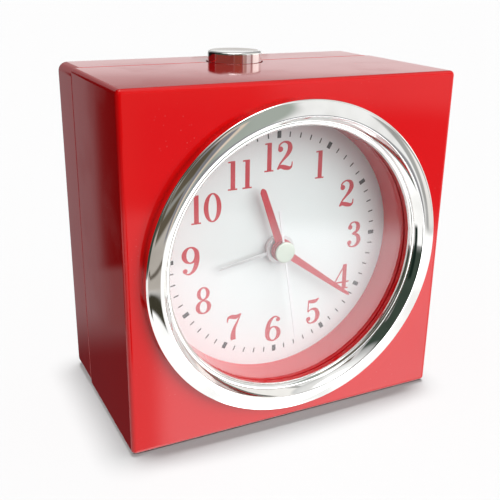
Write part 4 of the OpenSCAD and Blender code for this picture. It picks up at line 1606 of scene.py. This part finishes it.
@dataclass
class Dial:
    """The white dial with its numerals and minute marks, its red ring and the lens."""

    visible_r: float = 34.2
    disc_r: float = 35.95
    bore_r: float = 3.4
    face: float = node_span("dial", 1)[0]
    rear: float = node_span("dial", 1)[1]
    lens_depth: Point2 = node_span("lens", 1)
    print_t: float = 0.03
    mark_r: float = 29.9
    hour_mark: Point2 = (1.1, 1.8)
    minute_mark: Point2 = (0.32, 1.4)
    numeral_r: float = 24.35
    numeral_h: float = 7.6
    digit_gap: float = 0.1
    shifts: dict[int, Point2] = field(
        default_factory=lambda: {
            6: (-0.4, 0.4), 8: (0.1, 0.4), 9: (0.0, -0.3), 10: (1.05, 0.8), 11: (1.25, -0.45)
        }
    )
    made: dict[str, Solid] = field(default_factory=dict)

    def digit(self, sign: str) -> Solid:
        """A digit one unit high, standing on the origin."""
        if sign in self.made:
            return self.made[sign]
        if sign == "9":
            turn = Matrix.Translation((DIGIT_WIDTHS["9"], 0, 1)) @ Matrix.Rotation(math.pi, 4, "Y")
            made = self.digit("6").transformed(turn)
        else:
            parts = [mark.solid(0.0, 1.0 + 0.001 * i) for i, mark in enumerate(DIGIT_MARKS[sign])]
            made = parts[0].plus(*parts[1:])
        self.made[sign] = made
        return made

    def numeral(self, hour: int) -> Solid:
        """An hour's numeral, upright at its place on the dial."""
        signs = str(hour)
        gap = self.digit_gap + (0.07 if signs == "11" else 0.0)
        width = sum(DIGIT_WIDTHS[s] for s in signs) + gap * (len(signs) - 1)
        a = math.radians(30 * hour)
        shift_x, shift_up = self.shifts.get(hour, (0.0, 0.0))
        x, up = self.numeral_r * math.sin(a) + shift_x, self.numeral_r * math.cos(a) + shift_up
        size = Matrix.Diagonal((self.numeral_h, self.print_t, self.numeral_h, 1.0))
        placed, pen = [], -width / 2
        for s in signs:
            shift = Matrix.Translation((pen, 0.0, -0.5))
            place = Matrix.Translation((x, self.face - self.print_t, up))
            placed.append(self.digit(s).transformed(place @ size @ shift))
            pen += DIGIT_WIDTHS[s] + gap
        return Solid.group(placed)

    def marks(self) -> Solid:
        """The ring of minute marks, with a block at each hour."""
        blocks = []
        for minute in range(60):
            w, h = self.hour_mark if minute % 5 == 0 else self.minute_mark
            outline = turned_outline(rounded_rect(w, h, 0.08, 0.0, self.mark_r, 2), 6 * minute)
            blocks.append(Solid.prism(outline, self.face - self.print_t, self.face + 0.001))
        return Solid.group(blocks)

    def build(self) -> None:
        """Builds the dial, its printing, the red ring behind the lens and the lens."""
        disc = Solid.lathe(
            [
                (self.bore_r, self.face), (self.disc_r, self.face), (self.disc_r, self.rear),
                (self.bore_r, self.rear),
            ],
            steps=192,
        )
        make_piece(disc, "dial_sheet", Finishes.dial, "case", ["dial"])
        numerals = Solid.group(self.numeral(hour) for hour in range(1, 13))
        make_piece(numerals, "dial_numerals", Finishes.red_ink, "case")
        make_piece(self.marks(), "minute_marks", Finishes.black_ink, "case")
        front, rear = self.lens_depth
        ring = [
            (self.visible_r, rear), (self.disc_r, rear), (self.disc_r, self.face),
            (self.visible_r, self.face),
        ]
        make_piece(
            Solid.lathe(ring, steps=192), "inner_ring", Finishes.ring, "case", ["dial_ring"]
        )
        pane = Solid.eased(lambda i: circle(self.disc_r - i, 192), front, rear, 0.08, 0.08, steps=2)
        make_piece(pane, "clear_pane", Finishes.lens, "case", ["lens"])


@dataclass
class Hands:
    """The four hands and the cap over their hub."""

    hour_len: float = 18.3
    minute_len: float = 26.8
    second_len: float = 26.0
    second_tail: float = 11.5
    alarm_len: float = 17.9
    hour_at: float = 340.6
    minute_at: float = 127.0
    second_at: float = 171.0
    alarm_at: float = 259.8
    blade_t: float = 0.2

    def hub(self, r: float, bore: float, front: float, rear: float) -> Solid:
        """A hub disc with a softened front edge, bored for its pipe."""
        profile = [(bore, rear), (r, rear), *arc(r - 0.12, front + 0.12, 0.12, 0, -90, 4), (bore, front)]
        return Solid.lathe(profile, steps=72)

    def blade(self, outline: Outline, bore: float, front: float, rear: float) -> Solid:
        """A blade in the middle of its hub's thickness, with softened edges."""
        middle = (front + rear) / 2
        plate = Solid.prism(outline, middle - self.blade_t / 2, middle + self.blade_t / 2)
        hole = Solid.prism(circle(bore, 48), middle - 1, middle + 1)
        return plate.minus(hole).bevelled(0.05)

    def build(self) -> None:
        """Builds the hands and the cap."""
        hour = [
            (-1.15, 0.0), (-1.1, 3.0), (-0.86, self.hour_len - 0.9), (-0.45, self.hour_len - 0.25),
            (0.0, self.hour_len),
        ]
        minute = [
            (-1.05, 0.0), (-1.0, 3.0), (-0.62, self.minute_len - 5.0), (-0.42, self.minute_len - 0.8),
            (0.0, self.minute_len),
        ]
        second = [(-0.25, 0.0), (-0.2, self.second_len - 0.3), (0.0, self.second_len)]
        alarm = [(-0.5, 0.0), (-0.42, 8.0), (-0.3, self.alarm_len - 0.6), (0.0, self.alarm_len)]
        tail = [(0.28, -self.second_tail), (-0.28, -self.second_tail)]
        self.build_hand(
            "hour_pointer", hour, (), r=3.0, bore=1.6, front=8.45, rear=9.05, angle=self.hour_at,
            finish=Finishes.red_lacquer, body="hour", node="hour_hand",
        )
        self.build_hand(
            "minute_pointer", minute, (), r=2.9, bore=1.0, front=7.6, rear=8.15, angle=self.minute_at,
            finish=Finishes.red_lacquer, body="minute", node="minute_hand",
        )
        self.build_hand(
            "second_pointer", second, tail, r=2.2, bore=0.5, front=7.05, rear=7.25, angle=self.second_at,
            finish=Finishes.white_lacquer, body="second", node="second_hand",
        )
        self.build_hand(
            "alarm_pointer", alarm, (), r=3.9, bore=2.2, front=9.35, rear=9.95, angle=self.alarm_at,
            finish=Finishes.silver_lacquer, body="alarm", node="alarm_hand",
        )
        cap = [(0.0, 6.6), (1.9, 6.62), *arc(2.55, 6.85, 0.25, -80, 0, 4), (2.8, 7.05), (0.0, 7.05)]
        make_piece(
            Solid.lathe(cap, steps=72), "hub_cap", Finishes.cap, "second", ["second_hand_cap"]
        )

    def build_hand(
        self, name: str, half: Outline, tail: Sequence[Point2], r: float, bore: float, front: float,
        rear: float, angle: float, finish: Finish, body: str, node: str,
    ) -> None:
        """Builds one hand.

        Args:
            name: Name of the piece.
            half: Left half of the blade, from its root to its point.
            tail: Points of a tail beyond the hub.
            r: Radius of the hub.
            bore: Radius of the hub's bore.
            front: Depth of the hub's front.
            rear: Depth of the hub's rear.
            angle: Clockwise angle from twelve.
            finish: What the hand is made of.
            body: The body that it moves with.
            node: The CAD node that it replaces.
        """
        outline = list(half) + [(-x, y) for x, y in reversed(half[:-1])] + list(tail)
        hand = self.blade(outline, bore, front, rear).plus(self.hub(r, bore, front, rear)).turned(angle)
        make_piece(hand, name, finish, body, [node])


# ---------- snooze ----------


@dataclass
class Snooze:
    """The chrome snooze button over the seam, and its spring."""

    case: Case
    r: float = 7.4
    height: float = 2.9
    edge: float = 0.6
    spring_r: float = 4.6
    spring_wire: float = 0.3
    travel: float = 1.5

    def button(self) -> Solid:
        """The button as a turned cup with a plunger inside."""
        top = self.case.width / 2
        outer = [(0.0, top + self.height), (self.r - 1.6, top + self.height - 0.02)]
        outer += arc(self.r - self.edge, top + self.height - self.edge - 0.03, self.edge, 84, 0, 6)
        outer += [
            (self.r, top - 2.1), (self.r + 1.5, top - 2.1), (self.r + 1.5, top - 3.7),
            (self.r - 1.2, top - 3.7),
        ]
        outer += [
            (self.r - 1.2, top + 1.6), (1.4, top + 1.6), (1.4, self.case.bracket_top + 5.2),
            (0.0, self.case.bracket_top + 5.2),
        ]
        return Solid.lathe(outer, Axis.UP, (0.0, self.case.seam), 160)

    def build(self, bay: BatteryBay) -> None:
        """Builds the button and its spring."""
        make_piece(self.button(), "snooze_cap", Finishes.chrome, "snooze", ["snooze_button"])
        base, top = self.case.bracket_top, self.case.width / 2 + 1.6
        ends = (base + self.spring_wire, top - self.spring_wire)
        coil = bay.helix(
            Axis.UP, (0.0, self.case.seam), ends, (self.spring_r, self.spring_r), 6, self.spring_wire
        )
        piece = make_piece(coil, "return_spring", Finishes.spring, "case", ["snooze_spring"])
        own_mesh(piece)


# ---------- movement ----------


class Movement:
    """The quartz movement and the small hardware, which keep their frame shapes."""

    def build(self) -> None:
        """Gives each inner piece its finish."""
        dress_nodes(Finishes.movement, "movement_front_plate")
        dress_nodes(Finishes.cover, "movement_rear_cover")
        dress_nodes(Finishes.steel, "movement_screws", "bracket_screws")
        dress_nodes(Finishes.laminate, "circuit_board")
        dress_nodes(Finishes.resin, "driver_chip")
        dress_nodes(Finishes.can, "quartz_crystal")
        dress_nodes(Finishes.bobbin, "coil_bobbin", "snooze_bracket")
        dress_nodes(Finishes.winding, "coil_winding")
        dress_nodes(Finishes.stator, "stator")
        dress_nodes(Finishes.contact, "alarm_contact_spring")
        dress_nodes(Finishes.buzzer, "buzzer")
        dress_nodes(Finishes.black, "snooze_switch", "alarm_switch_body")
        dress_nodes(Finishes.red_wire, "battery_wires")
        dress_nodes(Finishes.black_wire, "buzzer_wires")
        dress_nodes(Finishes.brass, "cannon_pinion", "centre_wheel")
        dress_nodes(
            Finishes.gear, "hour_wheel", "seconds_wheel", "alarm_wheel", "time_set_arbor", "alarm_set_arbor",
            "third_wheel", "intermediate_wheel", "rotor_pinion",
        )
        dress_nodes(Finishes.magnet, "rotor_magnet")


# ---------- studio ----------


@dataclass(frozen=True)
class Card:
    """A soft patch of the room that shiny surfaces see.

    Azimuths count from straight in front of the dial to its right, elevations from the horizon.
    """

    azimuths: Point2
    elevations: Point2
    softness: float
    colour: tuple[float, float, float]

    def share(
        self, graph: Graph, azimuth: bpy.types.NodeSocket, elevation: bpy.types.NodeSocket
    ) -> bpy.types.NodeSocket:
        """How much of the card is seen in a direction, from 0 to 1."""
        middle = sum(self.azimuths) / 2
        half = (self.azimuths[1] - self.azimuths[0]) / 2
        turn = graph.math("ADD", graph.math("SUBTRACT", azimuth, middle), 540.0)
        off = graph.math("ABSOLUTE", graph.math("SUBTRACT", graph.math("MODULO", turn, 360.0), 180.0))
        across = graph.spread(off, half + self.softness, half - self.softness)
        low, high = self.elevations
        above = graph.spread(elevation, low - self.softness, low + self.softness)
        below = graph.spread(elevation, high + self.softness, high - self.softness)
        return graph.math("MULTIPLY", across, graph.math("MULTIPLY", above, below))


@dataclass
class Studio:
    """Floor, lights, surroundings and camera."""

    aim: tuple[float, float, float] = (-0.0007, 0.0, 0.0398)
    azimuth: float = 26.43
    elevation: float = 20.35
    roll: float = 0.84
    distance: float = 0.2166
    lens: float = 55.3
    floor_size: float = 12.0
    sky_power: float = 13.0
    front_power: float = 7.4
    sky_spread: float = 10.0
    fill: float = 0.34
    fill_below: float = 0.42
    cards: tuple[Card, ...] = (
        Card((-180, 180), (-95, -17.5), 0.8, (1.2, 1.2, 1.2)),
        Card((-180, 180), (62, 95), 8, (1.0, 1.0, 1.0)),
        Card((-180, 180), (76, 95), 5, (5.0, 5.0, 5.0)),
        Card((-115, -26), (-16, 52), 4, (0.05, 0.07, 0.055)),
        Card((-70, -60), (-30, 4), 2, (0.01, 0.02, 0.015)),
        Card((-52, -37), (11, 30), 2.5, (0.6, 0.54, 0.56)),
        Card((-34, 0), (28, 62), 4, (0.7, 0.66, 0.66)),
        Card((-26, 9), (-17, 60), 2, (0.12, 0.1, 0.07)),
        Card((-10, 8), (-6.5, -3.5), 1.2, (0.3, 0.3, 0.28)),
        Card((-14, 14), (-24, -12.5), 1.2, (0.5, 0.46, 0.42)),
        Card((-14, 14), (-20.8, -19.8), 0.4, (0.12, 0.1, 0.08)),
        Card((-14, 13), (-28.5, -24), 0.8, (0.05, 0.045, 0.03)),
        Card((9, 13), (-17, 60), 0.8, (0.24, 0.24, 0.27)),
        Card((13, 15.5), (-17, 60), 0.5, (0.8, 0.66, 0.54)),
        Card((15.5, 28), (-17, 60), 1.0, (0.4, 0.44, 0.4)),
        Card((28, 48), (-17, 60), 2.0, (1.0, 1.0, 1.0)),
        Card((18, 44), (-17, -9.5), 1.0, (0.3, 0.3, 0.32)),
        Card((19, 28), (-95, -21.5), 1.0, (3.3, 3.3, 3.4)),
        Card((27, 42), (-95, -18.5), 1.0, (3.3, 3.3, 3.4)),
        Card((48, 56), (-13, 60), 1.0, (0.42, 0.42, 0.41)),
        Card((56, 100), (-17, 60), 2.0, (1.0, 0.98, 0.95)),
        Card((100, 180), (-30, 60), 3.0, (1.0, 1.0, 1.0)),
        Card((100, 180), (7.7, 60), 0.4, (0.42, 0.42, 0.42)),
        Card((152.5, 158), (-30, 5.95), 0.15, (0.66, 0.63, 0.61)),
        Card((60, 100), (1.5, 12), 1.5, (1.8, 1.75, 1.7)),
        Card((-180, -140), (-29, 62), 2.0, (0.36, 0.35, 0.36)),
        Card((-180, -140), (-95, -26), 2.0, (0.05, 0.045, 0.05)),
        Card((-165.2, -115), (-26, -21), 0.5, (0.22, 0.19, 0.19)),
        Card((-165.2, -115), (-21.5, 62), 0.4, (0.008, 0.008, 0.008)),
    )

    def camera(self) -> None:
        """Places the camera."""
        data = bpy.data.cameras.new("camera")
        data.lens = self.lens
        data.clip_start = 0.01
        camera = bpy.data.objects.new("camera", data)
        bpy.context.scene.collection.objects.link(camera)
        a, e = math.radians(self.azimuth), math.radians(self.elevation)
        forward = Vector((math.sin(a) * math.cos(e), math.cos(a) * math.cos(e), -math.sin(e)))
        turn = forward.to_track_quat("-Z", "Y").to_matrix().to_4x4()
        roll = Matrix.Rotation(math.radians(self.roll), 4, "Z")
        camera.matrix_world = Matrix.Translation(Vector(self.aim) - forward * self.distance) @ turn @ roll
        bpy.context.scene.camera = camera

    def floor(self) -> bpy.types.Object:
        """Lays the pale floor. Reflections and bounced light don't see it, they see the surroundings."""
        half = self.floor_size / 2
        mesh = bpy.data.meshes.new("floor")
        mesh.from_pydata(
            [(-half, -half, 0), (half, -half, 0), (half, half, 0), (-half, half, 0)], [], [(0, 1, 2, 3)]
        )
        floor = bpy.data.objects.new("floor", mesh)
        bpy.context.scene.collection.objects.link(floor)
        mesh.materials.append(Finishes.floor.material)
        floor.visible_glossy = False
        floor.visible_diffuse = False
        return floor

    def softbox(
        self, name: str, azimuth: float, elevation: float, away: float, size: float, power: float
    ) -> bpy.types.Object:
        """Hangs a square soft light that looks at the clock.

        Args:
            name: Name of the light.
            azimuth: Degrees to the right of straight in front of the dial.
            elevation: Degrees above the horizon.
            away: Distance in metres.
            size: Side of the square in metres.
            power: Power in watts.

        Returns:
            The light.
        """
        data = bpy.data.lights.new(name, "AREA")
        data.shape = "SQUARE"
        data.size = size
        data.energy = power
        light = bpy.data.objects.new(name, data)
        bpy.context.scene.collection.objects.link(light)
        a, e = math.radians(azimuth), math.radians(elevation)
        direction = Vector((math.sin(a) * math.cos(e), -math.cos(a) * math.cos(e), math.sin(e)))
        light.location = Vector(self.aim) + direction * away
        light.rotation_mode = "QUATERNION"
        light.rotation_quaternion = (-direction).to_track_quat("-Z", "Y")
        light.visible_glossy = False
        return light

    def sun(
        self, name: str, azimuth: float, elevation: float, power: float, spread: float
    ) -> bpy.types.Object:
        """Hangs a far light.

        Args:
            name: Name of the light.
            azimuth: Degrees to the right of straight in front of the dial.
            elevation: Degrees above the horizon.
            power: Strength in watts per square metre.
            spread: Angle in degrees that the light's disc fills.

        Returns:
            The light.
        """
        data = bpy.data.lights.new(name, "SUN")
        data.energy = power
        data.angle = math.radians(spread)
        light = bpy.data.objects.new(name, data)
        bpy.context.scene.collection.objects.link(light)
        a, e = math.radians(azimuth), math.radians(elevation)
        direction = Vector((math.sin(a) * math.cos(e), -math.cos(a) * math.cos(e), math.sin(e)))
        light.rotation_mode = "QUATERNION"
        light.rotation_quaternion = (-direction).to_track_quat("-Z", "Y")
        light.visible_glossy = False
        return light

    def linked(self, light: bpy.types.Object, thing: bpy.types.Object, state: str) -> None:
        """Lets a light fall on nothing but the thing, or on everything but it."""
        group = bpy.data.collections.new(f"{light.name}_receivers")
        group.objects.link(thing)
        light.light_linking.receiver_collection = group
        group.collection_objects[0].light_linking.link_state = state

    def surroundings(self) -> None:
        """Builds the world: even fill for light, and a soft room for shiny surfaces."""
        world = bpy.data.worlds.new("studio")
        bpy.context.scene.world = world
        world.use_nodes = True
        graph = Graph(world.node_tree)
        direction = graph.add("ShaderNodeTexCoord").outputs["Generated"]
        parts = graph.add("ShaderNodeSeparateXYZ", {0: direction})
        x, y, z = (parts.outputs[i] for i in range(3))
        azimuth = graph.math(
            "MULTIPLY", graph.math("ARCTAN2", x, graph.math("MULTIPLY", y, -1.0)), 180 / math.pi
        )
        elevation = graph.math("MULTIPLY", graph.math("ARCSINE", z), 180 / math.pi)
        room: Value = (0.5, 0.5, 0.5, 1.0)
        for card in self.cards:
            room = graph.mix(card.share(graph, azimuth, elevation), room, (*card.colour, 1.0))
        path = graph.add("ShaderNodeLightPath")
        fill = graph.spread(elevation, -10.0, 10.0, self.fill_below, self.fill)
        glossy = graph.mix(path.outputs["Is Glossy Ray"], fill, room)
        seen = graph.mix(path.outputs["Is Camera Ray"], glossy, (0.97, 0.97, 0.97, 1.0))
        back = world.node_tree.nodes["Background"]
        graph.tree.links.new(seen, back.inputs["Color"])

    def build(self) -> None:
        """Builds everything round the clock."""
        self.camera()
        floor = self.floor()
        key = self.softbox("key", 25.0, 24.0, 1.2, 1.4, 21.5)
        self.linked(key, floor, "EXCLUDE")
        skylight = self.sun("skylight", 130.0, 88.0, self.sky_power, self.sky_spread)
        front_light = self.sun("front_light", -self.azimuth, 45.0, self.front_power, self.sky_spread)
        for light in (skylight, front_light):
            self.linked(light, floor, "INCLUDE")
        self.surroundings()
        bpy.context.scene.view_settings.view_transform = "Standard"


def main() -> None:
    """Builds the studio and the clock, one sub-assembly after another."""
    logging.basicConfig(level=logging.INFO, format="%(message)s")
    Studio().build()
    case = Case()
    case.build()
    rear = RearShell(case)
    rear.build()
    bay = BatteryBay(rear)
    bay.build()
    RearControls(rear).build()
    ChromeRing().build()
    Dial().build()
    Hands().build()
    Snooze(case).build(bay)
    Movement().build()


if __name__ == "__main__":
    main()
